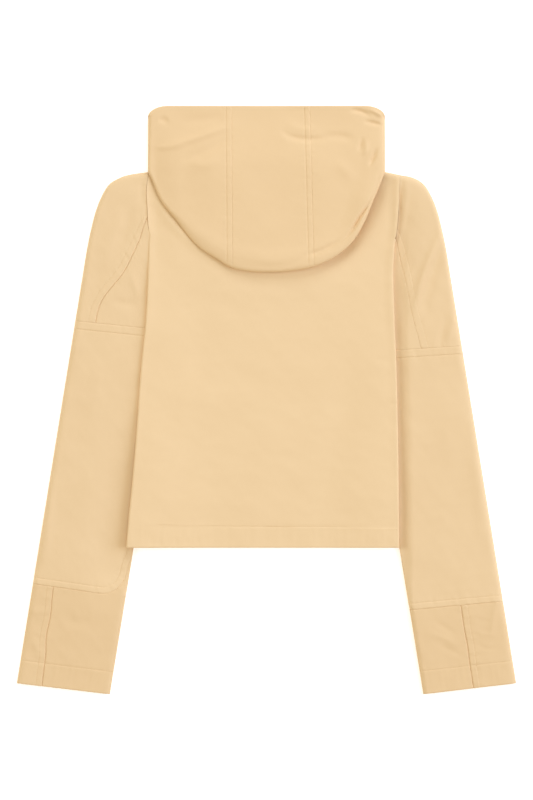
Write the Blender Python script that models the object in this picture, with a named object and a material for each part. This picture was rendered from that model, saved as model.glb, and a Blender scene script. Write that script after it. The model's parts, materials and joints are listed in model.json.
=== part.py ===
"""Short hooded parka laid flat with its back up: every cut piece is a thin wall of cloth at its real size.

All sizes are in millimetres until `add_piece` makes the meshes in metres. X runs across the garment,
Y up towards the hood, Z up from the surface it lies on. The origin is the middle of the garment's
outline, on that surface.
"""

import math

import bpy
import numpy as np

MM = 0.001

# ---------------------------------------------------------------- driving dimensions
CLOTH = 1.8  # one wall: shell cloth with its lining
SEAM = 0.3  # gap between two pieces at a seam
ARMHOLE_GAP = 0.9  # gap at the curved armhole seam
LAYER_GAP = 0.8  # air between two layers that lie on each other

HEM_Y = -176.7  # lower edge of the body
HOOD_TOP_Y = 352.5  # opening edge of the hood, the garment's upper end
HOOD_HALF_WIDTH = 142.0
HOOD_CORNER = (24.0, 14.0)  # width and height of the hood's rounded upper corners
PLACKET_HALF_WIDTH = 22.0

NECK_POINT = (90.6, 284.7)  # where shoulder seam and neckline meet
BACK_NECK_Y = 267.0
FRONT_NECK_Y = 214.0

SLEEVE_TOP = 7.6  # height of a flattened sleeve
CUFF_TOP = 5.6  # height of the flattened cuff at its hem
SLEEVE_EDGE_REACH = 9.0  # how far the roundness of a sleeve's edge reaches in
MID_TOP = 7.4  # height of the back over the middle of the body
HEM_TOP = 6.2  # height of the back at its hem
EDGE_TOP = 12.8  # height of the back's folded side edges, which lie on the sleeves
FOLD_RADIUS = 2.4  # outer radius of those folds
FOLD_RETURN = 14.0  # how far the back runs inwards again below its fold
FOLD_LIFT = (24.0, 36.0)  # where above the armhole's visible end the edge starts to climb, over what
FOLD_START = (2.0, 18.0)  # the same for the fold itself
EDGE_CLIMB = (55.0, 12.0)  # distance from the middle where the back starts to climb, from the edge where it ends
SHOULDER_REACH = 8.0  # how far the roundness of the shoulder seam reaches down the back
SHOULDER_Z = 3.8  # height of the back at that seam
TUCK_INNER_X = 62.0  # how far in the folded sides of the body reach
TUCK_TOP = 7.4
TUCK_TOP_Y = 150.0
SLEEVE_CLEAR = 3.0  # how far the hidden layers stay from a sleeve's inner edge

HOOD_RETURN = 3.0  # thickness of the hood's hidden inner layers
HOOD_BULGE = 2.6  # how much higher the hood stands along its lower edge
HOOD_BULGE_REACH = 30.0
HOOD_EDGE_REACH = 9.0
HOOD_EDGE_SIDE_Z = 3.6  # height of the hood's side folds above the shoulders
HOOD_MOUTH_TOP = (5.6, 7.2)  # height of its opening edge at the middle and at the sides
HOOD_DROP = (6.0, 34.0)  # where above the neckline the hood starts to fall to the surface, over what
HOOD_RETURN_SHORT = 12.0  # how far below the neckline its hidden inner layers end
HOOD_FRONT_LIFT = 2.5  # gap between the hood's side and the front's shoulder

PANEL_CORNER = 27.0  # size of the rounded lower corner of a forearm panel
CORNER_HEIGHT = 30.0
SEAM_DRIFT = (8.0, 75.0, 45.0)  # how far a forearm's long seam drifts out above it, from where, over what
CUFF_STRIP = 18.0  # width of the strip beside the forearm panel

# Outlines: x is the distance from the middle line, so one table serves both sides where both are alike.
OUTER_SLEEVE_EDGE = (  # x, y from the shoulder down to the cuff
    (175.8, 266.7),
    (187.8, 259.5),
    (197.4, 245.1),
    (203.4, 230.7),
    (209.4, 209.1),
    (215.4, 180.3),
    (219.9, 152.5),
    (299.4, -339.3),
)
INNER_SLEEVE_EDGE = (  # x, y from the underarm down to the cuff
    (106.0, 165.0),
    (112.0, 115.0),
    (116.4, 87.0),
    (159.6, -179.7),
    (187.8, -352.5),
)
HOOD_LOWER_EDGE = (  # x, y from the left side fold round to the right one
    (-142.0, 273.9),
    (-138.6, 266.7),
    (-126.6, 239.1),
    (-108.6, 216.3),
    (-79.8, 182.7),
    (-60.6, 170.1),
    (-41.4, 158.7),
    (-22.2, 154.5),
    (4.2, 153.3),
    (25.8, 154.5),
    (54.6, 159.3),
    (83.4, 172.5),
    (102.6, 189.3),
    (116.4, 211.5),
    (128.4, 240.3),
    (138.4, 264.0),
    (142.0, 273.9),
)

# What differs between the two sides. `armhole` runs from the shoulder to the underarm, `body_edge` is the back's
# visible fold, `cross` and `lower` are the outer and inner y of the two seams round the sleeve, `gusset` is its
# slanting back seam, `upright` the seam in the cuff, and `strip` how far past the sleeve's inner edge the forearm
# panel ends.
SIDES = {
    "left": {
        "sign": -1,
        "armhole": (
            (141.0, 273.9), (143.6, 256.0), (142.8, 231.0), (140.8, 204.3), (135.5, 189.0),
            (124.0, 175.5), (106.0, 165.0),
        ),
        "body_edge": (
            (204.3, 140.8), (150.0, 142.3), (96.0, 144.8), (40.0, 150.4), (-48.0, 156.6),
            (-176.7, 168.0),
        ),
        "cross": (95.1, 83.6),
        "lower": (-219.9, -236.0),
        "gusset": (
            (143.0, 219.5), (151.8, 193.9), (163.8, 166.7), (183.8, 136.3), (194.2, 125.1),
            (205.4, 92.3),
        ),
        "upright": ((255.9, -225.3), (269.4, -340.5)),
        "strip": 4.0,
    },
    "right": {
        "sign": 1,
        "armhole": (
            (160.2, 269.9), (159.6, 256.0), (158.6, 232.0), (157.0, 211.5), (154.2, 193.5),
            (146.0, 180.5), (131.0, 171.0), (106.0, 165.0),
        ),
        "body_edge": (
            (193.5, 154.4), (158.7, 152.2), (110.0, 153.0), (50.0, 155.4), (-60.0, 157.8),
            (-176.7, 159.0),
        ),
        "cross": (65.1, 57.8),
        "lower": (-240.9, -251.5),
        "gusset": (
            (155.5, 194.2), (158.0, 179.1), (165.6, 147.2), (172.3, 113.6), (177.4, 90.1),
            (184.9, 64.0),
        ),
        "upright": ((233.2, -248.8), (248.3, -344.1)),
        "strip": 29.0,
    },
}

HOOD_PANELS = (  # name, x range along the lower edge, x range along the opening edge, columns
    ("hood_left", (-142.0, -40.5), (-142.0, -42.0), 10),
    ("hood_centre", (-40.5, 57.0), (-42.0, 51.5), 6),
    ("hood_right", (57.0, 142.0), (51.5, 142.0), 10),
)

# Turns round a sleeve, in whole turns from an edge, at which its surface has its lines of points.
EDGE_TURNS = np.array([-0.11, -0.06, -0.025, 0.0, 0.025, 0.06, 0.11])
FRONT_SEAM_TURN = 0.8  # the plain seam under the sleeve
UNDERARM_TURNS = np.array([0.5, 0.525, 0.56, 0.61, 0.655, 0.7, 0.75, FRONT_SEAM_TURN, 0.89, 0.94, 0.975, 1.0])

# ---------------------------------------------------------------- colours of the cloth, sRGB
COLOURS = {
    "body": (241, 210, 166),
    "sleeve": (238, 207, 163),
    "cuff": (235, 203, 158),
    "hood": (238, 206, 161),
}
CLOTH_ROUGHNESS = 0.85


# ---------------------------------------------------------------- curves and easing
def soft_step(share):
    """0 to 1 with a level start and end."""
    share = np.clip(share, 0.0, 1.0)
    return share * share * (3.0 - 2.0 * share)


def roundover(distance, reach):
    """Quarter of an ellipse: 0 at an edge, 1 from `reach` inwards."""
    share = np.clip(distance / reach, 0.0, 1.0)
    return np.sqrt(np.clip(1.0 - (1.0 - share) ** 2, 0.0, 1.0))


def smooth_curve(points, count=200):
    """Evenly spaced points on a smooth curve through the given ones, passed at their neighbours' slope."""
    p = np.array(points, float)
    chord = np.hypot(*np.diff(p, axis=0).T)
    knots = np.concatenate([[0.0], np.cumsum(chord)])
    slope = np.gradient(p, knots, axis=0)
    at = np.linspace(0.0, knots[-1], count * 4)
    i = np.clip(np.searchsorted(knots, at, side="right") - 1, 0, len(chord) - 1)
    h = chord[i][:, None]
    t = (at - knots[i])[:, None] / h
    dense = (
        (2 * t**3 - 3 * t**2 + 1) * p[i]
        + (t**3 - 2 * t**2 + t) * h * slope[i]
        + (3 * t**2 - 2 * t**3) * p[i + 1]
        + (t**3 - t**2) * h * slope[i + 1]
    )
    return along(dense, np.linspace(0.0, 1.0, count))


def along(curve, share):
    """Points at these shares of a curve's length."""
    length = np.concatenate([[0.0], np.cumsum(np.hypot(*np.diff(curve, axis=0).T))])
    at = np.asarray(share) * length[-1]
    return np.stack([np.interp(at, length, curve[:, k]) for k in (0, 1)], axis=-1)


def x_at(curve, y):
    """x of a curve that runs down in y."""
    return np.interp(y, curve[::-1, 1], curve[::-1, 0])


def share_at_y(curve, y):
    """The share of its length at which a curve that runs down passes this y."""
    length = np.concatenate([[0.0], np.cumsum(np.hypot(*np.diff(curve, axis=0).T))])
    return np.interp(-y, -curve[:, 1], length / length[-1])


def share_across(turn):
    """How far across the flat sleeve a turn round it lies."""
    return (1.0 - np.cos(2.0 * math.pi * turn)) / 2.0


def distance_to(curve, x, y):
    """Distance from each point to the nearest stretch of a curve."""
    a, b = curve[:-1], curve[1:]
    run = b - a
    px, py = x[..., None] - a[:, 0], y[..., None] - a[:, 1]
    t = np.clip((px * run[:, 0] + py * run[:, 1]) / (run**2).sum(1), 0.0, 1.0)
    return np.hypot(px - t * run[:, 0], py - t * run[:, 1]).min(-1)


# ---------------------------------------------------------------- solids
def wall(patches):
    """Points and faces of one closed solid from pairs of grids: its outer face, inner face and rims."""
    outer = np.concatenate([grid.reshape(-1, 3) for grid, _ in patches])
    inner = np.concatenate([grid.reshape(-1, 3) for _, grid in patches])
    quads, start = [], 0
    for grid, _ in patches:
        rows, columns = grid.shape[:2]
        index = start + np.arange(rows * columns).reshape(rows, columns)
        corners = (index[:-1, :-1], index[:-1, 1:], index[1:, 1:], index[1:, :-1])
        quads.append(np.stack(corners, -1).reshape(-1, 4))
        start += rows * columns
    _, first, merged = np.unique(np.round(outer, 4), axis=0, return_index=True, return_inverse=True)
    quads = merged.reshape(-1)[np.concatenate(quads)]
    outer, inner, count = outer[first], inner[first], len(first)
    edges = np.concatenate([quads[:, [k, (k + 1) % 4]] for k in range(4)])
    key, twin = edges[:, 0] * count + edges[:, 1], edges[:, 1] * count + edges[:, 0]
    free = edges[~np.isin(key, twin)]
    first_end, last_end = free[:, 0], free[:, 1]
    rims = np.stack([last_end, first_end, first_end + count, last_end + count], -1)
    turned = outer[first_end, 1] > outer[last_end, 1]  # so two pieces split the facets of their seam alike
    rims[turned] = np.roll(rims[turned], -1, axis=1)
    faces = np.concatenate([quads, quads[:, ::-1] + count, rims])
    return np.concatenate([outer, inner]), faces


def volume_of(points, faces):
    """Signed volume, positive where the faces look outwards."""
    corners = points[faces]
    halves = np.concatenate([corners[:, [0, 1, 2]], corners[:, [0, 2, 3]]])
    return np.linalg.det(halves).sum() / 6.0


def cloth_material(name):
    """Matt cotton in one of the garment's colours."""
    material = bpy.data.materials.new("cloth_" + name)
    material.use_nodes = True
    shader = material.node_tree.nodes["Principled BSDF"]
    linear = [((c / 255.0 + 0.055) / 1.055) ** 2.4 for c in COLOURS[name]]
    shader.inputs["Base Color"].default_value = (*linear, 1.0)
    shader.inputs["Roughness"].default_value = CLOTH_ROUGHNESS
    shader.inputs["Metallic"].default_value = 0.0
    return material


def add_piece(name, patches, material, garment):
    """Makes one piece of the garment, its origin at the middle of its own outline."""
    points, faces = wall(patches)
    if volume_of(points, faces) < 0:
        faces = faces[:, ::-1]
    place = (points.min(0) + points.max(0)) / 2.0
    place[2] = 0.0
    mesh = bpy.data.meshes.new(name)
    mesh.from_pydata(((points - place) * MM).tolist(), [], faces.tolist())
    mesh.materials.append(material)
    mesh.shade_smooth()
    mesh.set_sharp_from_angle(angle=math.radians(40.0))
    mesh.validate()
    piece = bpy.data.objects.new(name, mesh)
    piece.location = place * MM
    piece.parent = garment
    bpy.context.scene.collection.objects.link(piece)
    return piece


def mirrored(grid, sign):
    """The grid on its own side of the middle line."""
    return grid * np.array([sign, 1.0, 1.0])


# ---------------------------------------------------------------- the body's own shapes
def shoulder_line(x, corner):
    """y of the shoulder seam between the neck point and the armhole's upper end."""
    share = (np.abs(x) - NECK_POINT[0]) / (corner[0] - NECK_POINT[0])
    return NECK_POINT[1] + (corner[1] - NECK_POINT[1]) * share


class Side:
    """One half of the body: its armhole, its folded edge and how high the back lies there."""

    def __init__(self, table):
        self.sign = table["sign"]
        self.armhole = smooth_curve(table["armhole"])
        self.fold = smooth_curve([(x, y) for y, x in table["body_edge"]])
        self.arm_y = table["body_edge"][0][0]
        self.shoulder = table["armhole"][0]
        self.inner_edge = smooth_curve(INNER_SLEEVE_EDGE)
        self.underarm = along(self.armhole, share_across(UNDERARM_TURNS))

    def edge_x(self, y):
        """Distance of the back's visible edge from the middle line."""
        return np.where(y >= self.arm_y, x_at(self.armhole, y), x_at(self.fold, y))

    def edge_top(self, y):
        """Height of the back along that edge: level with the sleeve at the armhole, on top of it below."""
        lift = soft_step((self.arm_y + FOLD_LIFT[0] - y) / FOLD_LIFT[1])
        return SLEEVE_TOP + (EDGE_TOP - SLEEVE_TOP) * lift

    def wrap(self, y):
        """Share of the fold's full turn, which starts just below the armhole's visible end."""
        return soft_step((self.arm_y + FOLD_START[0] - y) / FOLD_START[1])

    def back_top_y(self, x):
        """Upper edge of the back: half an ellipse at the neck, then the shoulder seam."""
        at = np.clip(np.abs(x) / NECK_POINT[0], 0.0, 1.0)
        neck = BACK_NECK_Y + (NECK_POINT[1] - BACK_NECK_Y) * (1.0 - np.sqrt(1.0 - at**2))
        return np.where(at < 1.0, neck, shoulder_line(x, self.shoulder))

    def front_top_y(self, x):
        """Upper edge of a front: a quarter ellipse from the placket up to the neck point, then the shoulder."""
        at = np.clip((np.abs(x) - PLACKET_HALF_WIDTH) / (NECK_POINT[0] - PLACKET_HALF_WIDTH), 0.0, 1.0)
        neck = NECK_POINT[1] - (NECK_POINT[1] - FRONT_NECK_Y) * np.sqrt(1.0 - at**2)
        return np.where(at < 1.0, neck, shoulder_line(x, self.shoulder))

    def front_edge(self):
        """Side of a front from the hem up: beside the sleeve's inner edge, then along the armhole."""
        y = np.array([HEM_Y, -90.0, 0.0, 90.0, 140.0])
        low = np.stack([x_at(self.inner_edge, y) - SLEEVE_CLEAR, y], -1)
        away = np.array([-ARMHOLE_GAP, SEAM]) * np.linspace(2.5, 1.0, len(self.underarm))[:, None]
        return np.concatenate([low, self.underarm + away])


SIDE = {name: Side(table) for name, table in SIDES.items()}


def side_of(x, method, *args):
    """A measure taken from the left half where x is negative and from the right half elsewhere."""
    left, right = (getattr(SIDE[name], method)(*args) for name in ("left", "right"))
    return np.where(x < 0, left, right)


def back_height(x, y):
    """Top of the back: low over the middle, high at its folded edges, rounded down at the shoulder."""
    middle = HEM_TOP + (MID_TOP - HEM_TOP) * soft_step((y - HEM_Y) / 60.0)
    edge, top = side_of(x, "edge_x", y), side_of(x, "edge_top", y)
    start, stop = EDGE_CLIMB
    share = soft_step((np.abs(x) - start) / (edge - stop - start))
    height = middle + (top - middle) * share
    upper = side_of(x, "back_top_y", x) - y
    past_neck = soft_step((np.abs(x) - NECK_POINT[0]) / 8.0)
    fall = 1.0 - past_neck * (1.0 - roundover(upper, SHOULDER_REACH))
    return SHOULDER_Z + (height - SHOULDER_Z) * fall


def back_patches():
    """The back panel with both side edges folded under."""
    left, right = SIDE["left"], SIDE["right"]
    neck = NECK_POINT[0]
    columns = np.array(
        [-left.shoulder[0], -128.0, -110.0, -neck, -84.0, -60.0, -25.0]
        + [25.0, 60.0, 84.0, neck, 110.0, 128.0, 146.0, right.shoulder[0]]
    )
    top = np.where(columns < 0, left.back_top_y(columns), right.back_top_y(columns))
    low = np.array([HEM_Y, -155.0, -115.0, -40.0, 40.0, 100.0, 140.0, 168.0, 182.0, 193.0, 204.0])
    high = np.array([0.3, 0.6, 0.88, 0.96, 1.0])
    straight = np.repeat(low[:, None], len(columns), 1)
    y = np.concatenate([straight, low[-1] + high[:, None] * (top - low[-1])])
    share = (columns - columns[0]) / (columns[-1] - columns[0])
    wraps = {name: np.arange(np.sum(low < side.arm_y)) for name, side in SIDE.items()}
    ends = {}
    for name, side in SIDE.items():
        level = y[:, 0 if name == "left" else -1]
        x = side.edge_x(level) - ARMHOLE_GAP
        x[wraps[name]] = side.edge_x(level[wraps[name]]) - FOLD_RADIUS
        ends[name] = x
    x = -ends["left"][:, None] + share * (ends["left"] + ends["right"])[:, None]
    z = back_height(x, y)
    outer = np.stack([x, y, z], -1)
    patches = [(outer, outer - [0.0, 0.0, CLOTH])]
    for name, side in SIDE.items():
        column = outer[wraps[name], 0 if name == "left" else -1]
        patches.append(fold_patch(column, side))
    return patches


def fold_patch(column, side):
    """The edge turned under: half a turn of FOLD_RADIUS, then a straight return towards the middle."""
    arc = math.pi * FOLD_RADIUS
    steps = np.array([0.0, 0.25, 0.5, 0.75, 1.0, 1.0 + FOLD_RETURN / arc]) * arc
    run = side.wrap(column[:, 1])[:, None] * steps
    turn = np.minimum(run, arc) / FOLD_RADIUS
    back = np.maximum(run - arc, 0.0)
    grids = []
    for radius in (FOLD_RADIUS, FOLD_RADIUS - CLOTH):
        x = column[:, :1] + side.sign * (radius * np.sin(turn) - back)
        z = column[:, 2:] - FOLD_RADIUS + radius * np.cos(turn)
        grids.append(np.stack([x, np.broadcast_to(column[:, 1:2], x.shape), z], -1))
    return grids[0][:, :: side.sign], grids[1][:, :: side.sign]


def front_patch(side):
    """One front, flat on the surface, from placket to sleeve and from hem to neck and shoulder."""
    edge = side.front_edge()
    start, neck = PLACKET_HALF_WIDTH + SEAM, NECK_POINT[0]
    columns = np.array([start, 45.0, 65.0, 80.0, 88.0, neck, 115.0, edge[-1, 0]])
    share = (columns - start) / (columns[-1] - start)
    x = start + (edge[:, :1] - start) * share
    underarm = side.underarm[0, 1]
    rise = np.clip((edge[:, 1:] - underarm) / (edge[-1, 1] - underarm), 0.0, 1.0)
    top = side.front_top_y(columns) - SEAM
    y = edge[:, 1:] * (rise == 0.0) + (underarm + (top - underarm) * rise) * (rise > 0.0)
    y[:, -1] = edge[:, 1]
    lower = np.stack([x, y, np.zeros_like(x)], -1)
    return mirrored(lower, side.sign), mirrored(lower + [0.0, 0.0, CLOTH], side.sign)


def placket_patch():
    """The straight strip between the two fronts."""
    rows = np.linspace(HEM_Y, FRONT_NECK_Y - SEAM, 5)
    x, y = np.meshgrid([-PLACKET_HALF_WIDTH, 0.0, PLACKET_HALF_WIDTH], rows)
    lower = np.stack([x, y, np.zeros_like(x)], -1)
    return lower, lower + [0.0, 0.0, CLOTH]


def tuck_patch(side):
    """The folded side of the body as one rounded solid between front and back."""
    low, floor, high = HEM_Y + 2.0, CLOTH + 0.4, TUCK_TOP_Y
    y = np.array([low, low + 3.0, -155.0, -75.0, 20.0, 100.0, high - 6.0, high])[:, None]
    share = np.array([0.0, 0.03, 0.1, 0.5, 0.9, 0.97, 1.0])
    limit = np.minimum(x_at(side.inner_edge, y) - SLEEVE_CLEAR, side.edge_x(y) - FOLD_RADIUS)
    x = TUCK_INNER_X + share * (limit - TUCK_INNER_X)
    y = np.broadcast_to(y, x.shape)
    ceiling = np.minimum(back_height(side.sign * x, y) - CLOTH - 0.6, TUCK_TOP)
    inside = np.minimum(np.minimum(x - TUCK_INNER_X, limit - x), np.minimum(y - low, high - y))
    spread = 0.3 + 0.7 * roundover(inside, 3.0)
    middle = (floor + ceiling) / 2.0
    upper = np.stack([x, y, middle + (ceiling - middle) * spread], -1)
    lower = np.stack([x, y, middle + (floor - middle) * spread], -1)
    return mirrored(upper, side.sign), mirrored(lower, side.sign)


# ---------------------------------------------------------------- sleeves
class Sleeve:
    """A flattened tube. Its stations run 0 armhole, 1 cross seam, 2 lower seam, 3 cuff hem. Its turns run
    0 outer edge, 0.5 inner edge, 1 outer edge again, the upper layer first."""

    def __init__(self, table):
        self.table = table
        self.sign = table["sign"]
        shoulder = table["armhole"][0]
        rest = [point for point in OUTER_SLEEVE_EDGE if point[0] > shoulder[0]]
        self.outer = smooth_curve([shoulder, *rest], 400)
        self.inner = smooth_curve(INNER_SLEEVE_EDGE, 400)
        self.armhole = smooth_curve(table["armhole"])
        ys = np.array([table["cross"], table["lower"]])
        self.outer_stops = np.array([0.0, *share_at_y(self.outer, ys[:, 0]), 1.0])
        self.inner_stops = np.array([0.0, *share_at_y(self.inner, ys[:, 1]), 1.0])

    def ends(self, station):
        """The outer and inner edge points of a station."""
        at = np.arange(4)
        outer = along(self.outer, np.interp(station, at, self.outer_stops))
        inner = along(self.inner, np.interp(station, at, self.inner_stops))
        return outer, inner

    def width(self, station):
        """Flat width of the sleeve at a station."""
        outer, inner = self.ends(station)
        return np.hypot(*np.moveaxis(inner - outer, -1, 0))

    def plan(self, station, across):
        """x and y at a share across the sleeve. Near the armhole the chord bends to its own curve."""
        outer, inner = self.ends(station)
        flat = outer + (inner - outer) * across[..., None]
        first, last = self.armhole[0], self.armhole[-1]
        bow = along(self.armhole, across) - (first + (last - first) * across[..., None])
        return flat + bow * np.clip(1.0 - station, 0.0, 1.0)[..., None]

    def surface(self, station, turn, inset=0.0):
        """The tube's face at `inset` below its outside: level above and below, rounded at both edges."""
        station, turn = np.broadcast_arrays(np.asarray(station, float), np.asarray(turn, float))
        width = self.width(station)
        across = (inset + (width - 2.0 * inset) * share_across(turn)) / width
        point = self.plan(station, across)
        edge = width * np.minimum(across, 1.0 - across) - inset
        rise = roundover(edge, SLEEVE_EDGE_REACH - inset)
        top = SLEEVE_TOP + (CUFF_TOP - SLEEVE_TOP) * soft_step(station - 2.0)
        middle = 0.45 * top
        upper = middle + (top - inset - middle) * rise
        under = middle + (inset - middle) * rise
        z = np.where(np.mod(turn, 1.0) < 0.5, upper, under)
        return np.concatenate([point, z[..., None]], -1) * [self.sign, 1.0, 1.0]

    def patch(self, station, turn):
        """Outer and inner grid over these stations and turns."""
        return self.surface(station, turn), self.surface(station, turn, CLOTH)

    def turn_at(self, girth, station):
        """The turn at a distance round the sleeve from its outer edge over the upper layer."""
        share = girth / self.width(station)
        across = np.clip(np.where(share <= 1.0, share, 2.0 - share), 0.0, 1.0)
        turn = np.arccos(1.0 - 2.0 * across) / (2.0 * math.pi)
        return np.where(share <= 1.0, turn, 1.0 - turn)

    def gusset_turn(self, stations):
        """The turn of the slanting back seam at these stations, found on the flat plan."""
        seam = smooth_curve(self.table["gusset"])
        s, w = np.meshgrid(np.linspace(0.0, 1.0, 101), np.linspace(0.05, 0.7, 131), indexing="ij")
        gap = distance_to(seam, *np.moveaxis(self.plan(s, w), -1, 0))
        at = w[0][gap.argmin(1)]
        return np.arccos(1.0 - 2.0 * np.interp(stations, s[:, 0], at)) / (2.0 * math.pi)


def seam_shift(sleeve, stations, gap):
    """Half a seam gap, measured in turns, where the sleeve is level."""
    return gap / 2.0 / (math.pi * sleeve.width(stations) * 0.9)


def upper_sleeve_patches(sleeve):
    """Top sleeve and under sleeve, parted by the back seam above and a plain seam on the under layer."""
    stations = np.array([0.0, 0.06, 0.13, 0.22, 0.34, 0.5, 0.7, 1.0])
    seam = sleeve.gusset_turn(stations)[:, None]
    stations[-1] -= SEAM / 2.0 / 170.0
    shift = seam_shift(sleeve, stations, 2.0 * SEAM)[:, None]
    ones = np.ones((len(stations), 1))
    lead, share = EDGE_TURNS[-1], np.array([1.0 / 3.0, 2.0 / 3.0, 1.0])
    first = FRONT_SEAM_TURN - 1.0 + shift
    top = np.hstack([first, ones * EDGE_TURNS, lead + (seam - shift - lead) * share])
    lead = 0.5 + EDGE_TURNS[1]
    share = np.array([1.0, 0.65, 0.3])
    under_turns = UNDERARM_TURNS[(UNDERARM_TURNS < FRONT_SEAM_TURN)]
    fixed = np.concatenate([0.5 + EDGE_TURNS[1:3], under_turns])
    under = np.hstack([lead + (seam + shift - lead) * share, ones * fixed, FRONT_SEAM_TURN - shift])
    return sleeve.patch(stations[:, None], top), sleeve.patch(stations[:, None], under)


def forearm_and_cuff_patches(sleeve):
    """The forearm panel with its rounded lower corner, and the cuff with the strip that runs up beside it."""
    length = float(np.hypot(*(sleeve.ends(2.0)[1] - sleeve.ends(1.0)[1])))
    above = np.array([length, 190.0, 100.0, 74.0, 64.0, 56.0, 48.0, 40.0, 30.0, 19.0, 10.0, 4.0, 1.0, 0.0])
    stations = 2.0 - above / length
    stations[0] += SEAM / 2.0 / length
    drift = SEAM_DRIFT[0] * soft_step((SEAM_DRIFT[1] - above) / SEAM_DRIFT[2])
    corner = PANEL_CORNER * (1.0 - roundover(above, CORNER_HEIGHT))
    strip = sleeve.table["strip"]
    width = sleeve.width(stations)
    seam = sleeve.turn_at(width + strip - drift - corner, stations)
    end = sleeve.turn_at(width + strip + CUFF_STRIP, stations)
    crest = 1.0 - soft_step(np.abs(seam - 0.5) / 0.06)
    shift = seam_shift(sleeve, stations, 3.0 * SEAM) * (1.0 + 2.5 * crest)

    lead = np.concatenate([EDGE_TURNS, [0.25]])
    share = np.array([0.45, 0.7, 0.86, 0.95, 1.0])
    ones = np.ones((len(stations), 1))
    tail = lead[-1] + (seam - shift - lead[-1])[:, None] * share
    turns = np.hstack([(end + shift - 1.0)[:, None], ones * lead, tail])
    gap = SEAM / 2.0 / length
    forearm = sleeve.patch((stations - gap * (above == 0.0))[:, None], turns)

    columns = np.array([0.0, 0.1, 0.25, 0.45, 0.7, 1.0])
    strip_turns = (seam + shift)[:, None] + (end - seam - 2.0 * shift)[:, None] * columns
    joint = stations + gap * (above == 0.0)
    strip_patch = sleeve.patch(joint[:, None], strip_turns)

    rows = np.array([2.0 + gap, 2.15, 2.5, 2.85, 3.0])
    upright = upright_turn(sleeve, rows)
    before = np.linspace(0.0, 1.0, 5)[:-1]
    lead_in = upright[:, None] + shift[-1] + (strip_turns[-1, 0] - upright[:, None] - shift[-1]) * before
    round_edge = np.concatenate([[0.78], 1.0 + EDGE_TURNS])
    wide = np.ones((len(rows), 1))
    last = (1.0 + upright - shift[-1])[:, None]
    turns = np.hstack([lead_in, wide * strip_turns[-1], wide * round_edge, last])
    return forearm, [strip_patch, sleeve.patch(rows[:, None], turns)]


def upright_turn(sleeve, rows):
    """The turn of the upright cuff seam at these stations."""
    ends = np.array(sleeve.table["upright"])
    outer, inner = sleeve.ends(np.array([2.0, 3.0]))
    across = np.hypot(*(ends - outer).T) / np.hypot(*(inner - outer).T)
    turn = np.arccos(1.0 - 2.0 * across) / (2.0 * math.pi)
    return np.interp(rows, [2.0, 3.0], turn)


# ---------------------------------------------------------------- hood
def hood_top_y(x):
    """The opening edge: straight, with a quarter of an ellipse at each corner."""
    wide, high = HOOD_CORNER
    at = np.clip((np.abs(x) - HOOD_HALF_WIDTH + wide) / wide, 0.0, 1.0)
    return HOOD_TOP_Y - high * (1.0 - np.sqrt(1.0 - at**2))


def hood_edge():
    """The hood's folded outline: up the left side, round the lower edge, up the right side."""
    lower = smooth_curve(HOOD_LOWER_EDGE, 240)
    side_top = HOOD_TOP_Y - HOOD_CORNER[1]
    rise = np.linspace(side_top, lower[0, 1], 20, endpoint=False)
    left = np.stack([np.full(20, -HOOD_HALF_WIDTH), rise], -1)
    right = np.stack([np.full(20, HOOD_HALF_WIDTH), rise[::-1]], -1)
    return np.concatenate([left, lower, right]), lower


HOOD_OUTLINE, HOOD_LOWER = hood_edge()


def shrunk(curve, inset):
    """The curve moved towards the inside of the hood."""
    run = np.gradient(curve, axis=0)
    run /= np.hypot(*run.T)[:, None]
    return curve + inset * np.stack([-run[:, 1], run[:, 0]], -1)


def hood_base(x, y):
    """What the thrown-back hood lies on."""
    limit = side_of(x, "back_top_y", x) - SHOULDER_REACH
    return back_height(x, np.minimum(y, limit)) + LAYER_GAP


def past_shoulder(x, y):
    """0 over the body, 1 well above the neck and shoulder line."""
    return soft_step((y - side_of(x, "back_top_y", x) - HOOD_DROP[0]) / HOOD_DROP[1])


def hood_heights(x, y, edge):
    """Top of the hood's upper layer away from its rounding, and the height at which its edge folds."""
    base, past = hood_base(x, y), past_shoulder(x, y)
    bulge = HOOD_BULGE * (1.0 - soft_step(edge / HOOD_BULGE_REACH))
    middle, side = HOOD_MOUTH_TOP
    mouth = middle + (side - middle) * soft_step((np.abs(x) - PLACKET_HALF_WIDTH) / 60.0)
    stack = HOOD_RETURN + LAYER_GAP + CLOTH
    top = (1.0 - past) * (base + stack + bulge) + past * mouth
    fold = (1.0 - past) * (base + (stack + HOOD_BULGE) / 2.0) + past * HOOD_EDGE_SIDE_Z
    return top, fold


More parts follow.
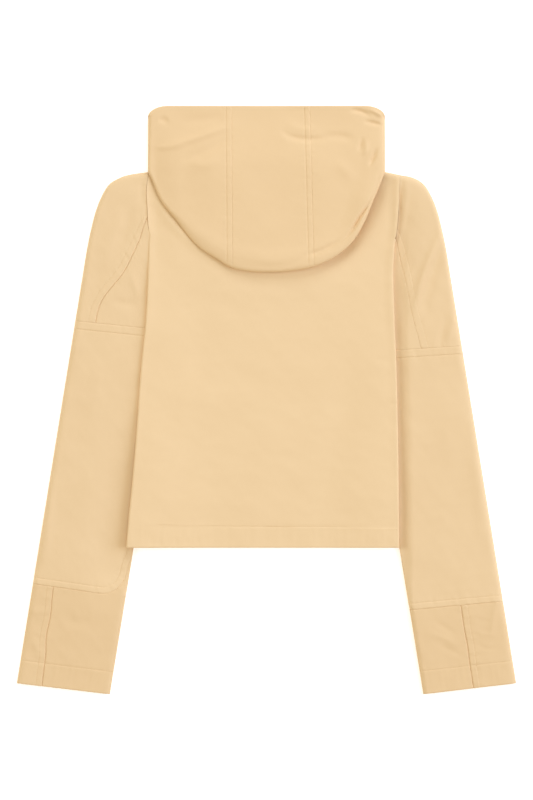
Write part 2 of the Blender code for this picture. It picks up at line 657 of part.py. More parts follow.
def hood_panel_grid(lower_range, upper_range, columns, inset):
    """One face of a hood panel: upright columns from the opening edge down to the lower edge."""
    seams = [abs(end) < HOOD_HALF_WIDTH for end in lower_range]
    lower = shrunk(HOOD_LOWER, inset)
    at = np.interp(lower_range, HOOD_LOWER[:, 0], np.linspace(0.0, 1.0, len(HOOD_LOWER)))
    ease = np.linspace(0.0, 1.0, columns)
    if not seams[0]:
        ease = ease**1.7
    if not seams[1]:
        ease = 1.0 - (1.0 - ease) ** 1.7
    foot = along(lower, at[0] + (at[1] - at[0]) * ease)
    low, high = np.array(lower_range, float), np.array(upper_range, float)
    low += [SEAM / 2.0 if seams[0] else inset, -SEAM / 2.0 if seams[1] else -inset]
    high += [SEAM / 2.0 if seams[0] else inset, -SEAM / 2.0 if seams[1] else -inset]
    share = (foot[:, 0] - foot[0, 0]) / (foot[-1, 0] - foot[0, 0])
    foot_x = low[0] + share * (low[1] - low[0])
    head_x = high[0] + share * (high[1] - high[0])
    down = np.array([0.0, 0.17, 0.35, 0.52, 0.68, 0.82, 0.91, 0.96, 0.987, 1.0])[:, None]
    x = head_x + (foot_x - head_x) * down
    y = hood_top_y(head_x) + (foot[:, 1] - hood_top_y(head_x)) * down
    edge = distance_to(shrunk(HOOD_OUTLINE, inset), x, y)
    edge[-1] = 0.0
    top, fold = hood_heights(x, y, edge)
    z = fold + SEAM / 2.0 + (top - inset - fold - SEAM / 2.0) * roundover(edge, HOOD_EDGE_REACH - inset)
    return np.stack([x, y, z], -1)


def hood_return_patch():
    """The hood's hidden inner layers: a shallow dish on the back whose rim meets the upper layer's fold."""
    shares = np.concatenate([[0.03, 0.06], np.linspace(0.1, 0.9, 14), [0.94, 0.97]])
    rise = np.array([0.0, 0.02, 0.07, 0.2, 0.6, 1.0])[:, None]
    grids = []
    for inset in (0.0, CLOTH):
        foot = along(shrunk(HOOD_LOWER, inset), shares)
        x = np.broadcast_to(foot[:, 0], (len(rise), len(shares)))
        head = side_of(foot[:, 0], "back_top_y", foot[:, 0]) - HOOD_RETURN_SHORT
        y = foot[:, 1] + (head - foot[:, 1]) * rise
        edge = distance_to(shrunk(HOOD_LOWER, inset), x, y)
        edge[0] = 0.0
        _, fold = hood_heights(x, y, edge)
        level = hood_base(x, y) + (HOOD_RETURN if inset else 0.0)
        z = fold - 2.0 * SEAM + (level - fold + 2.0 * SEAM) * roundover(edge, 8.0 - inset)
        grids.append(np.stack([x, y, z], -1))
    return grids[0], grids[1]


def hood_front_patch(side):
    """The hood's side where it runs round to the front neck, under the upper layer and beside the front."""
    wide, high = HOOD_CORNER
    bend = np.array([0.15, 0.5, 1.0]) * math.pi / 2.0
    centre = np.array([HOOD_HALF_WIDTH - wide, HOOD_TOP_Y - high])
    corner = centre + np.stack([np.sin(bend), np.cos(bend)], -1) * [wide, high]
    shoulder_y = float(shoulder_line(HOOD_HALF_WIDTH, side.shoulder)) + HOOD_FRONT_LIFT
    down = corner[-1] + ([HOOD_HALF_WIDTH, shoulder_y] - corner[-1]) * np.array([0.35, 0.65, 1.0])[:, None]
    neck_x = np.array([115.0, NECK_POINT[0], 88.0, 80.0, 65.0, 45.0])
    away = 2.0 * SEAM
    neck = np.stack([neck_x - away * (neck_x <= NECK_POINT[0]), side.front_top_y(neck_x) + away], -1)
    outside = np.concatenate([corner, down, neck])
    start = np.array([HOOD_HALF_WIDTH - wide - 2.0, HOOD_TOP_Y])
    stop = np.array([neck_x[-1] - 6.0, neck[-1, 1]])
    share = np.array([0.0, 0.03, 0.07, 0.2, 0.28, 0.33, 0.38, 0.47, 0.62, 0.74, 0.87, 1.0])
    opening = start + (stop - start) * share[:, None]
    across = np.array([0.0, 0.4, 0.75, 0.9, 0.97, 1.0])
    fold_line = np.concatenate([corner, down])
    fold_line[0] = [HOOD_HALF_WIDTH - wide, HOOD_TOP_Y]
    grids = []
    for inset in (0.0, CLOTH):
        rim = outside.copy()
        rim[:, 0] = np.minimum(rim[:, 0], HOOD_HALF_WIDTH - inset)
        point = opening[:, None] + (rim - opening)[:, None] * across[:, None]
        x, y = point[..., 0], point[..., 1]
        edge = np.clip(distance_to(fold_line, x, y) - inset, 0.0, None)
        _, fold = hood_heights(side.sign * x, y, edge)
        z = fold - 3.5 * SEAM + (inset - fold + 3.5 * SEAM) * roundover(edge, 8.0 - inset)
        grids.append(np.stack([x * side.sign, y, z], -1))
    return grids[0], grids[1]


# ---------------------------------------------------------------- the whole garment
def build():
    """Every piece of the garment, under one empty."""
    for old in list(bpy.data.objects):
        bpy.data.objects.remove(old, do_unlink=True)
    garment = bpy.data.objects.new("parka", None)
    bpy.context.scene.collection.objects.link(garment)
    cloth = {name: cloth_material(name) for name in COLOURS}

    add_piece("back", back_patches(), cloth["body"], garment)
    add_piece("front_placket", [placket_patch()], cloth["body"], garment)
    for name, side in SIDE.items():
        add_piece("front_" + name, [front_patch(side)], cloth["body"], garment)
        add_piece("side_tuck_" + name, [tuck_patch(side)], cloth["body"], garment)

    for name, table in SIDES.items():
        sleeve = Sleeve(table)
        top, under = upper_sleeve_patches(sleeve)
        forearm, cuff = forearm_and_cuff_patches(sleeve)
        add_piece("top_sleeve_" + name, [top], cloth["sleeve"], garment)
        add_piece("under_sleeve_" + name, [under], cloth["sleeve"], garment)
        add_piece("forearm_" + name, [forearm], cloth["sleeve"], garment)
        add_piece("cuff_" + name, cuff, cloth["cuff"], garment)

    for name, lower_range, upper_range, columns in HOOD_PANELS:
        faces = [hood_panel_grid(lower_range, upper_range, columns, inset) for inset in (0.0, CLOTH)]
        add_piece(name, [tuple(faces)], cloth["hood"], garment)
    add_piece("hood_return", [hood_return_patch()], cloth["hood"], garment)
    for name, side in SIDE.items():
        add_piece("hood_front_" + name, [hood_front_patch(side)], cloth["hood"], garment)


build()
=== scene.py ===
"""Short hooded parka of cotton twill, laid flat with its back up and its hood thrown back.

Shapes are worked out in millimetres as grids of points, with X across the garment, Y up towards the hood
and Z up from the surface it lies on. `ClothPiece.sew` turns each grid into a closed wall of cloth in metres.
"""

import json
import logging
import math
from collections.abc import Callable, Sequence
from dataclasses import dataclass, field
from enum import Enum

import bpy
import numpy as np
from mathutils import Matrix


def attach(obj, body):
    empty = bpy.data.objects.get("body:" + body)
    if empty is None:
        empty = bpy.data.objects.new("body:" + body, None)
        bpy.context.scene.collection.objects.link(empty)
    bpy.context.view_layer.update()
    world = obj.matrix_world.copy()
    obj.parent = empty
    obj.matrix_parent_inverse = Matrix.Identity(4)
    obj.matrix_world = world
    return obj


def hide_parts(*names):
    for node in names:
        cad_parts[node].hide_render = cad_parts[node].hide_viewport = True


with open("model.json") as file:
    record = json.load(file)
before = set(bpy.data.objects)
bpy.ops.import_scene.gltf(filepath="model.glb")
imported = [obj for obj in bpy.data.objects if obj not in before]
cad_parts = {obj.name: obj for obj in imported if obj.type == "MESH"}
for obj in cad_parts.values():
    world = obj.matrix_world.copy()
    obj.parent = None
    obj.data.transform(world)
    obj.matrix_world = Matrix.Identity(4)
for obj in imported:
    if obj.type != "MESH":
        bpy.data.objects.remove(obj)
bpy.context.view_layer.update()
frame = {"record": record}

log = logging.getLogger("parka")

Array = np.ndarray
Point = tuple[float, float]
Knots = tuple[float, ...]
Surface = Callable[[Array, Array], Array]

MM = 0.001
PICTURE_WIDTH, PICTURE_HEIGHT = 533, 800
PIXEL = 1.2  # mm of the garment to a pixel of the photograph
PICTURE_MIDDLE = (266.5, 400.25)  # column and row of the garment's middle

CLOTH = 1.8  # one wall: shell cloth with its lining
SEAM = 0.06  # gap between two pieces at a seam
HEM_ROUND = 1.1  # how far the roundness of a folded hem reaches in
UNDER_ROUND = 1.2  # the same on the flat underside
STITCH_DEPTH = 0.3  # how far a line of stitches lies below the face
HEM_STITCH = 25.0  # height of the body's hem stitches on an even hem
FAR = 99.0  # a distance at which a seam no longer shows
BORDER_LENGTH = 700.0  # round length of the forearm panel's border, for the run of its puckers
BELL_REACH = 2.6  # widths after which a crease is taken as gone
CREASE_END = 0.4  # share of a crease's length over which each end fades

# Distances of the lines of points from what they follow, mm
EDGE_STEPS = np.array([0.0, 0.2, 0.5, 0.9, 1.5, 2.3, 3.4, 4.8])  # from a sewn edge
STITCH_STEPS = np.array([-1.6, -0.9, -0.45, 0.0, 0.45, 0.9, 1.6])  # across a line of stitches
FOLD_STEPS = np.array([0.0, 0.12, 0.45, 1.0, 1.9, 3.1, 4.7, 6.8, 9.4])  # from a flattened sleeve's edge
FLAT_STEPS = np.array([0.0, 0.4, 1.0, 1.8])  # from an edge of the flat underside
FOLD_REACH = FOLD_STEPS[-1]
FOLD_LEAD = FOLD_REACH + 1.4  # girth at which the even lines past a folded edge start


class Side(Enum):
    """The garment's two halves, as the sign of x."""

    LEFT = -1
    RIGHT = 1

    @property
    def word(self) -> str:
        """The half's name as the CAD nodes have it."""
        return self.name.lower()


class Hold(Enum):
    """How a piece of cloth is held."""

    LAID = "laid"
    FOLDED = "folded"


class Slot(Enum):
    """Material slots of the record."""

    BODY = "body_cloth"
    SLEEVE = "sleeve_cloth"
    CUFF = "cuff_cloth"
    HOOD = "hood_cloth"


# --- curves and easing
def soft_step(share: Array | float) -> Array:
    """0 to 1 with a level start and end: three squares less two cubes of the share."""
    share = np.clip(share, 0.0, 1.0)
    return share * share * (3.0 - 2.0 * share)


def roundover(distance: Array, reach: float) -> Array:
    """Quarter of an ellipse: 0 at an edge, 1 from `reach` inwards."""
    share = np.clip(distance / reach, 0.0, 1.0)
    return np.sqrt(np.clip(1.0 - (1.0 - share) ** 2, 0.0, 1.0))


def bell(distance: Array, width: float) -> Array:
    """1 on a line, fading as the exponential of the squared distance over the width."""
    return np.exp(-((distance / width) ** 2))


def lengths(curve: Array) -> Array:
    """Length of a curve up to each of its points."""
    return np.concatenate([[0.0], np.cumsum(np.hypot(*np.diff(curve, axis=0).T))])


def joined(*values: Array | float) -> Array:
    """Coordinates side by side on a new last axis, each spread to the shape of the largest."""
    return np.stack(np.broadcast_arrays(*values), -1)


def along(curve: Array, share: Array | float) -> Array:
    """Points at these shares of a curve's length."""
    length = lengths(curve)
    at = np.asarray(share) * length[-1]
    return np.stack([np.interp(at, length, curve[:, k]) for k in (0, 1)], axis=-1)


def smooth_curve(points: Sequence[Point], count: int = 240) -> Array:
    """A smooth curve through the points, passed at their neighbours' slope (cubic Hermite pieces).

    Args:
        points: x and y of the points.
        count: number of points on the result.

    Returns:
        Evenly spaced points on the curve, one row each.
    """
    p = np.array(points, float)
    knots = lengths(p)
    slope = np.gradient(p, knots, axis=0)
    at = np.linspace(0.0, knots[-1], count * 4)
    i = np.clip(np.searchsorted(knots, at, side="right") - 1, 0, len(p) - 2)
    h = (knots[i + 1] - knots[i])[:, None]
    t = (at - knots[i])[:, None] / h
    dense = (
        (2 * t**3 - 3 * t**2 + 1) * p[i]
        + (t**3 - 2 * t**2 + t) * h * slope[i]
        + (3 * t**2 - 2 * t**3) * p[i + 1]
        + (t**3 - t**2) * h * slope[i + 1]
    )
    return along(dense, np.linspace(0.0, 1.0, count))


def x_at(curve: Array, y: Array) -> Array:
    """x of a curve that runs down in y."""
    return np.interp(y, curve[::-1, 1], curve[::-1, 0])


def share_at_y(curve: Array, y: Array) -> Array:
    """The share of its length at which a curve that runs down passes this y."""
    length = lengths(curve)
    return np.interp(-np.asarray(y), -curve[:, 1], length / length[-1])


def nearest_on(curve: Array, x: Array, y: Array) -> tuple[Array, Array]:
    """Where the nearest point of a polyline is, for each of many points.

    Args:
        curve: points of the polyline, one row each.
        x: x of the points, one row.
        y: y of the points, one row.

    Returns:
        The distance, and the share of the polyline's length there.
    """
    start, run = curve[:-1], np.diff(curve, axis=0)
    length = np.hypot(*run.T)
    reach = np.concatenate([[0.0], np.cumsum(length)])
    px, py = x[:, None] - start[:, 0], y[:, None] - start[:, 1]
    t = np.clip((px * run[:, 0] + py * run[:, 1]) / length**2, 0.0, 1.0)
    dx, dy = px - t * run[:, 0], py - t * run[:, 1]
    gap = dx * dx + dy * dy
    best, row = gap.argmin(1), np.arange(len(x))
    return np.sqrt(gap[row, best]), (reach[best] + t[row, best] * length[best]) / reach[-1]


def distance_to(curve: Array, x: Array, y: Array) -> Array:
    """Distance from each point of a grid to a polyline."""
    x, y = np.broadcast_arrays(x, y)
    return nearest_on(curve, x.ravel(), y.ravel())[0].reshape(x.shape)


def ticks(*stretches: Sequence[float]) -> Array:
    """The stretches one after the other, sorted, without near doubles."""
    whole = np.sort(np.concatenate(stretches))
    return whole[np.concatenate([[True], np.diff(whole) > 0.05])]


def even(start: float, stop: float, step: float) -> Array:
    """Evenly spaced numbers strictly between start and stop, about a step apart."""
    count = max(int(round((stop - start) / step)), 1)
    return np.linspace(start, stop, count + 1)[1:-1]


def spread(
    fixed_low: Sequence[float], fixed_high: Sequence[float], length: Sequence[float], step: float
) -> Array:
    """Lines of points on a stretch that differs from row to row: fixed at both ends, even between.

    Args:
        fixed_low: distances from the start, rising from 0.
        fixed_high: distances from the end, rising from 0.
        length: length of the stretch in each row.
        step: wanted spacing of the even part.

    Returns:
        Distances from the start, one row per length.
    """
    length = np.asarray(length, float)[:, None]
    first, last = fixed_low[-1], fixed_high[-1]
    count = max(int(round((length.max() - first - last) / step)), 2)
    share = np.linspace(0.0, 1.0, count + 1)[1:-1]
    middle = first + (length - last - first) * share
    low = np.broadcast_to(fixed_low, (len(length), len(fixed_low)))
    return np.hstack([low, middle, length - fixed_high[::-1]])


# --- creases and seams as heights
@dataclass(frozen=True)
class Crease:
    """A soft fold in the cloth along a line read off the photograph.

    Attributes:
        points: columns and rows of the photograph.
        width: mm over which it fades to each side.
        height: mm that it stands up, below zero for a furrow.
    """

    points: tuple[Point, ...]
    width: float
    height: float

    def height_at(self, x: Array, y: Array) -> Array:
        """Height that the crease adds: a bell across its line that fades to nothing over both ends.

        Args:
            x: x of the points, mm.
            y: y of the points, mm.

        Returns:
            Heights in mm, in the points' own shape.
        """
        line = (np.array(self.points, float) - PICTURE_MIDDLE) * [PIXEL, -PIXEL]
        if len(line) > 2:
            line = smooth_curve(line, 24)
        reach = self.width * BELL_REACH
        low, high = line.min(0) - reach, line.max(0) + reach
        near = (x > low[0]) & (x < high[0]) & (y > low[1]) & (y < high[1])
        added = np.zeros(x.shape)
        if near.any():
            gap, share = nearest_on(line, x[near], y[near])
            taper = soft_step(share / CREASE_END) * soft_step((1.0 - share) / CREASE_END)
            added[near] = self.height * taper * bell(gap, self.width)
        return added


@dataclass(frozen=True)
class Relief:
    """Everything that stands a little above or below a piece's even surface.

    Attributes:
        creases: its folds.
        seed: start of its random waves.
        waves: height of the broadest of its random waves, mm.
    """

    creases: tuple[Crease, ...] = ()
    seed: int = 1
    waves: float = 0.22

    def height_at(self, x: Array, y: Array) -> Array:
        """Creases plus a sum of plane waves, 9 to 130 mm long, the longer the higher.

        Args:
            x: x of the points, mm.
            y: y of the points, mm.

        Returns:
            Heights in mm.
        """
        rng = np.random.default_rng(self.seed)
        length = np.exp(rng.uniform(math.log(9.0), math.log(130.0), 36))
        angle, phase = rng.uniform(0.0, math.tau, (2, 36))
        pull = math.tau / length
        arg = x[..., None] * (pull * np.cos(angle)) + y[..., None] * (pull * np.sin(angle)) + phase
        total = self.waves * (np.sin(arg) * (length / 130.0)).sum(-1) / 2.2
        for crease in self.creases:
            total = total + crease.height_at(x, y)
        return total


@dataclass(frozen=True)
class SewnEdge:
    """The surface beside a seam: it dips there, stands over the folded allowance and dips at the stitches.

    Attributes:
        stitch: distance of the topstitching from the edge, mm, or 0 for none.
        seed: start of the pucker's random waves.
        dip: depth of the groove at the edge, mm.
        swell: height over the allowance, mm.
        pucker: height of the small waves that the stitches pull up, mm.
        dent: depth of the stitches' own groove, mm.
    """

    stitch: float = 0.0
    seed: int = 5
    dip: float = 0.5
    swell: float = 0.3
    pucker: float = 0.15
    dent: float = 0.45

    def height_at(self, distance: Array, run: Array) -> Array:
        """Height beside the edge.

        Args:
            distance: distance of each point from the edge, mm.
            run: length along the edge at each point, mm.

        Returns:
            Heights in mm: less the dip times what a quarter ellipse over 1.5 mm leaves; plus the swell out
            to the stitches; less a bell on them; plus sine waves along the edge that fade away from it.
        """
        rng = np.random.default_rng(self.seed)
        height = -self.dip * (1.0 - roundover(distance, 1.5))
        waves = np.zeros(np.broadcast(distance, run).shape)
        for length in (6.3, 9.1, 13.7, 21.0):
            waves += np.sin(run * math.tau / length + rng.uniform(0.0, math.tau)) / 2.0
        if self.stitch:
            plateau = soft_step(distance / 1.6) * (1.0 - soft_step((distance - self.stitch + 1.0) / 1.2))
            sunk = bell(distance - self.stitch, 0.75)
            height = height + self.swell * plateau - self.dent * sunk * (1.0 + 0.3 * waves)
            fade = bell(np.clip(distance - self.stitch, 0.0, None), 5.0)
        else:
            fade = bell(distance, 5.0)
        return height + self.pucker * waves * fade * soft_step(distance / 2.0)


# --- shader maths
class ShaderTree:
    """The node tree of one material."""

    def __init__(self, material: bpy.types.Material) -> None:
        """Clears the nodes of the material to dress."""
        material.use_nodes = True
        self.nodes, self.links = material.node_tree.nodes, material.node_tree.links
        self.nodes.clear()

    def make(self, kind: str, settings: dict[str, object], inputs: dict[int | str, object]) -> bpy.types.Node:
        """Adds a node: its settings first, then the values or links of its sockets.

        Args:
            kind: the node's type.
            settings: its properties by name.
            inputs: a value or a Socket for each input, by index or name.

        Returns:
            The new node.
        """
        node = self.nodes.new(kind)
        for name, value in settings.items():
            setattr(node, name, value)
        for key, value in inputs.items():
            if isinstance(value, Socket):
                self.links.new(value.link, node.inputs[key])
            else:
                node.inputs[key].default_value = value
        return node

    def node(
        self, kind: str, settings: dict[str, object], inputs: dict[int | str, object], output: int | str = 0
    ) -> "Socket":
        """Adds a node as `make` does and wraps the output that is asked for."""
        return Socket(self, self.make(kind, settings, inputs).outputs[output])

    def maths(self, operation: str, first: object, second: object) -> "Socket":
        """One Math node on two numbers or sockets."""
        return self.node("ShaderNodeMath", {"operation": operation}, {0: first, 1: second})

    def mixed(self, share: "Socket", low: Sequence[float], high: Sequence[float]) -> "Socket":
        """Colour between two colours by a share."""
        inputs = {0: share, 6: (*low, 1.0), 7: (*high, 1.0)}
        return self.node("ShaderNodeMix", {"data_type": "RGBA"}, inputs, 2)

    def bump(self, height: "Socket", strength: float, distance: float) -> "Socket":
        """Normal of a surface with this height, the distance in m."""
        inputs = {"Strength": strength, "Distance": distance, "Height": height}
        return self.node("ShaderNodeBump", {}, inputs, "Normal")

    def finish(self, inputs: dict[int | str, object]) -> None:
        """Adds the shader with these inputs and the material's output."""
        shader = self.node("ShaderNodeBsdfPrincipled", {}, inputs)
        self.make("ShaderNodeOutputMaterial", {}, {0: shader})


class Socket:
    """An output of a node on which sums and products add Math nodes."""

    def __init__(self, tree: ShaderTree, link: bpy.types.NodeSocket) -> None:
        """Wraps a node's own output, which is in this tree."""
        self.tree, self.link = tree, link

    def __add__(self, other: object) -> "Socket":
        """Sum."""
        return self.tree.maths("ADD", self, other)

    __radd__ = __add__

    def __sub__(self, other: object) -> "Socket":
        """Difference."""
        return self.tree.maths("SUBTRACT", self, other)

    def __rsub__(self, other: object) -> "Socket":
        """Difference from a number."""
        return self.tree.maths("SUBTRACT", other, self)

    def __mul__(self, other: object) -> "Socket":
        """Product."""
        return self.tree.maths("MULTIPLY", self, other)

    __rmul__ = __mul__

    def sine(self) -> "Socket":
        """Sine of the angle."""
        return self.tree.maths("SINE", self, 0.0)


@dataclass(frozen=True)
class TwillFinish:
    """Brushed cotton twill, seen through the piece's own cloth coordinates in mm.

    Attributes:
        slot: the record's slot whose colour it takes.
        rib: mm from one diagonal rib to the next.
        thread: mm from one weft thread to the next.
        roughness: mean roughness.
    """

    slot: Slot
    rib: float = 0.95
    thread: float = 0.55
    roughness: float = 0.86

    def colour(self) -> tuple[float, float, float]:
        """The slot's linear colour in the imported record."""
        for row in frame["record"]["materials"]:
            if row["slot"] == self.slot.value:
                return tuple(row["base_color"][:3])
        raise KeyError(self.slot.value)

    def material(self) -> bpy.types.Material:
        """Builds the material.

        Returns:
            A twill with slanting ribs. Rib height is a sine of weft plus 0.83 of warp, thread height a sine
            of the warp; both feed the bump, with slubs drawn out along the warp. The same ribs and slubs
            and a broad, faint mottle turn the colour from a darker to a lighter one.
        """
        material = bpy.data.materials.new(self.slot.value)
        tree = ShaderTree(material)
        cloth = tree.node("ShaderNodeAttribute", {"attribute_name": "cloth"}, {}, "Vector")
        split = tree.make("ShaderNodeSeparateXYZ", {}, {0: cloth})
        weft, warp = Socket(tree, split.outputs[0]), Socket(tree, split.outputs[1])
        rib = ((weft + warp * 0.83) * (math.tau / self.rib)).sine() * 0.5 + 0.5
        pick = (warp * (math.tau / self.thread)).sine() * 0.5 + 0.5
        drawn = tree.node("ShaderNodeVectorMath", {"operation": "MULTIPLY"}, {0: cloth, 1: (2.2, 0.12, 1.0)})
        grain = {"Vector": drawn, "Scale": 1.0, "Detail": 2.0, "Roughness": 0.6}
        slub = tree.node("ShaderNodeTexNoise", {}, grain)
        mottle = tree.node("ShaderNodeTexNoise", {}, {"Vector": cloth, "Scale": 0.018, "Detail": 3.0})
        red, green, blue = self.colour()
        low = (red * 0.945, green * 0.925, blue * 0.90)
        high = (red * 1.03, green * 1.04, blue * 1.06)
        share = slub * 0.34 + mottle * 0.42 + rib * 0.18 + 0.03
        height = rib * 0.6 + pick * 0.22 + slub * 0.5
        tree.finish(
            {
                "Base Color": tree.mixed(share, low, high),
                "Roughness": slub * 0.08 + (self.roughness - 0.04),
                "Normal": tree.bump(height, 0.35, 0.00012),
                "Metallic": 0.0,
                "Specular IOR Level": 0.25,
                "Sheen Weight": 0.08,
                "Sheen Roughness": 0.45,
                "Sheen Tint": (1.0, 0.93, 0.82, 1.0),
            }
        )
        return material


@dataclass(frozen=True)
class ThreadFinish:
    """Matt sewing thread a shade darker than the cloth.

    Attributes:
        colour: linear colour, darkened from the cloth's as painted shade.
        twist: mm from one turn of its strands to the next.
    """

    # darker than the cloth: painted shade for the shadow along the stitch lines
    colour: tuple[float, float, float] = (0.74, 0.515, 0.275)
    twist: float = 0.5

    def material(self) -> bpy.types.Material:
        """Builds the material.

        Returns:
            A thread whose strands are a sine of the place along it, painted lighter on top of each strand and
            darker between them as painted highlight and shade.
        """
        material = bpy.data.materials.new("thread")
        tree = ShaderTree(material)
        place = tree.node("ShaderNodeTexCoord", {}, {}, "Object")
        split = tree.make("ShaderNodeSeparateXYZ", {}, {0: place})
        x, y = Socket(tree, split.outputs[0]), Socket(tree, split.outputs[1])
        strand = ((x + y) * (math.tau / (self.twist * MM))).sine() * 0.5 + 0.5
        # painted highlight and shade: the strand's height lightens its tops and darkens the grooves between
        # strands
        low = tuple(c * 0.93 for c in self.colour)
        high = tuple(min(c * 1.05, 1.0) for c in self.colour)
        tree.finish(
            {
                "Base Color": tree.mixed(strand, low, high),
                "Roughness": strand * 0.1 + 0.6,
                "Normal": tree.bump(strand, 0.4, 0.0001),
                "Metallic": 0.0,
                "Specular IOR Level": 0.3,
            }
        )
        return material


# --- meshes
@dataclass
class Patch:
    """One stretch of cloth as two grids of points with the same layout.

    Attributes:
        outer: its outer face, rows by columns by x, y, z in mm.
        inner: its inner face.
        weave: place in the cloth, mm along weft and warp.
    """

    outer: Array
    inner: Array
    weave: Array


def add_mesh(name: str, points: Array, faces: Array, weave: Array | None) -> bpy.types.Object:
    """Makes an object at the origin from points in mm and faces with four corners.

    Args:
        name: the object's name.
        points: x, y, z in mm.
        faces: four corners each; a triangle repeats its last one as -1.
        weave: cloth coordinates of the points, or None.

    Returns:
        The new object, linked to the scene.
    """
    sizes = 3 + (faces[:, 3] >= 0)
    corners = faces[faces >= 0]
    mesh = bpy.data.meshes.new(name)
    mesh.vertices.add(len(points))
    mesh.vertices.foreach_set("co", (points * MM).astype(np.float32).ravel())
    mesh.loops.add(len(corners))
    mesh.loops.foreach_set("vertex_index", corners.astype(np.int32))
    mesh.polygons.add(len(faces))
    starts = np.concatenate([[0], np.cumsum(sizes)[:-1]]).astype(np.int32)
    mesh.polygons.foreach_set("loop_start", starts)
    mesh.update(calc_edges=True)
    mesh.shade_smooth()
    if weave is not None:
        layer = mesh.attributes.new("cloth", "FLOAT_VECTOR", "POINT")
        flat = np.concatenate([weave, np.zeros((len(weave), 1))], axis=1)
        layer.data.foreach_set("vector", flat.astype(np.float32).ravel())
    if mesh.validate():
        log.warning("%s: the mesh had invalid faces", name)
    piece = bpy.data.objects.new(name, mesh)
    bpy.context.scene.collection.objects.link(piece)
    return piece


def closed_wall(patches: Sequence[Patch]) -> tuple[Array, Array, Array]:
    """Joins patches into one closed wall: outer faces, inner ones turned round, a rim along each free edge.

    Args:
        patches: stretches whose outer faces share points where they meet.

    Returns:
        Points, faces and cloth coordinates. A bent face starts at the corner whose diagonal stands out
        further, because that is where it splits in two, and one bent past a right angle is two triangles
        from the start, so that a folded edge that crosses the grid stays whole.
    """
    outer = np.concatenate([p.outer.reshape(-1, 3) for p in patches])
    inner = np.concatenate([p.inner.reshape(-1, 3) for p in patches])
    weave = np.concatenate([p.weave.reshape(-1, 2) for p in patches])
    quads, start = [], 0
    for patch in patches:
        rows, columns = patch.outer.shape[:2]
        index = start + np.arange(rows * columns).reshape(rows, columns)
        around = (index[:-1, :-1], index[:-1, 1:], index[1:, 1:], index[1:, :-1])
        quads.append(np.stack(around, -1).reshape(-1, 4))
        start += rows * columns
    _, first, merged = np.unique(np.round(outer, 3), axis=0, return_index=True, return_inverse=True)
    quads = merged.reshape(-1)[np.concatenate(quads)]
    outer, inner, weave, count = outer[first], inner[first], weave[first], len(first)
    edges = np.concatenate([quads[:, [k, (k + 1) % 4]] for k in range(4)])
    key, twin = edges[:, 0] * count + edges[:, 1], edges[:, 1] * count + edges[:, 0]
    free = edges[~np.isin(key, twin)]
    rims = joined(free[:, 1], free[:, 0], free[:, 0] + count, free[:, 1] + count)
    faces = np.concatenate([quads, quads[:, ::-1] + count, rims])
    points = np.concatenate([outer, inner])
    corners = points[faces]
    halves = np.concatenate([corners[:, [0, 1, 2]], corners[:, [0, 2, 3]]])
    if np.linalg.det(halves).sum() < 0.0:
        faces = faces[:, ::-1].copy()
    corner = points[faces[:len(quads)]]
    ridge = corner[:, 0] + corner[:, 2] - corner[:, 1] - corner[:, 3]
    facing = np.cross(corner[:, 2] - corner[:, 0], corner[:, 3] - corner[:, 1])
    turned = np.einsum("ij,ij->i", ridge, facing) < 0.0
    turned = np.concatenate([turned, ~turned, np.zeros(len(rims), bool)])
    faces[turned] = np.roll(faces[turned], -1, axis=1)
    a, b, c, d = np.moveaxis(points[faces], 1, 0)
    sharp = np.einsum("ij,ij->i", np.cross(b - a, c - a), np.cross(c - a, d - a)) < 0.0
    bent, closing = faces[sharp], np.full((sharp.sum(), 1), -1)
    parts = [np.hstack([bent[:, corners], closing]) for corners in ([0, 1, 2], [0, 2, 3])]
    return points, np.concatenate([faces[~sharp], *parts]), np.concatenate([weave, weave])


@dataclass(frozen=True)
class Stitching:
    """A line of topstitching laid on a surface.

    Attributes:
        surface: gives points in mm for two grid parameters.
        first: the line's first parameter, one number per point.
        second: its second parameter.
        lift: how far the thread's middle lies above the surface, mm.
        under: whether it is seen from below.
    """

    surface: Surface
    first: Array
    second: Array
    lift: float = -0.02
    under: bool = False

    def frames(self, pitch: float) -> tuple[Array, Array, Array]:
        """Middle, direction and upward normal of each stitch.

        Args:
            pitch: mm from one stitch to the next.

        Returns:
            Three arrays of x, y, z. The normal is the cross product of the surface's two slopes.
        """
        points = self.surface(self.first, self.second)
        step = np.linalg.norm(np.diff(points, axis=0), axis=1)
        run = np.concatenate([[0.0], np.cumsum(step)])
        at = np.arange(pitch * 0.5, run[-1], pitch)
        a, b = np.interp(at, run, self.first), np.interp(at, run, self.second)
        ahead = np.stack([np.interp(at + 0.4, run, points[:, k]) for k in range(3)], -1)
        behind = np.stack([np.interp(at - 0.4, run, points[:, k]) for k in range(3)], -1)
        tangent = ahead - behind
        tangent /= np.linalg.norm(tangent, axis=1)[:, None]
        middle = self.surface(a, b)
        tiny = 0.004 * max(np.ptp(self.first), 0.5), 0.004 * max(np.ptp(self.second), 0.5)
        normal = np.cross(self.surface(a + tiny[0], b) - middle, self.surface(a, b + tiny[1]) - middle)
        normal /= np.linalg.norm(normal, axis=1)[:, None] + 1e-12
        return middle, tangent, normal


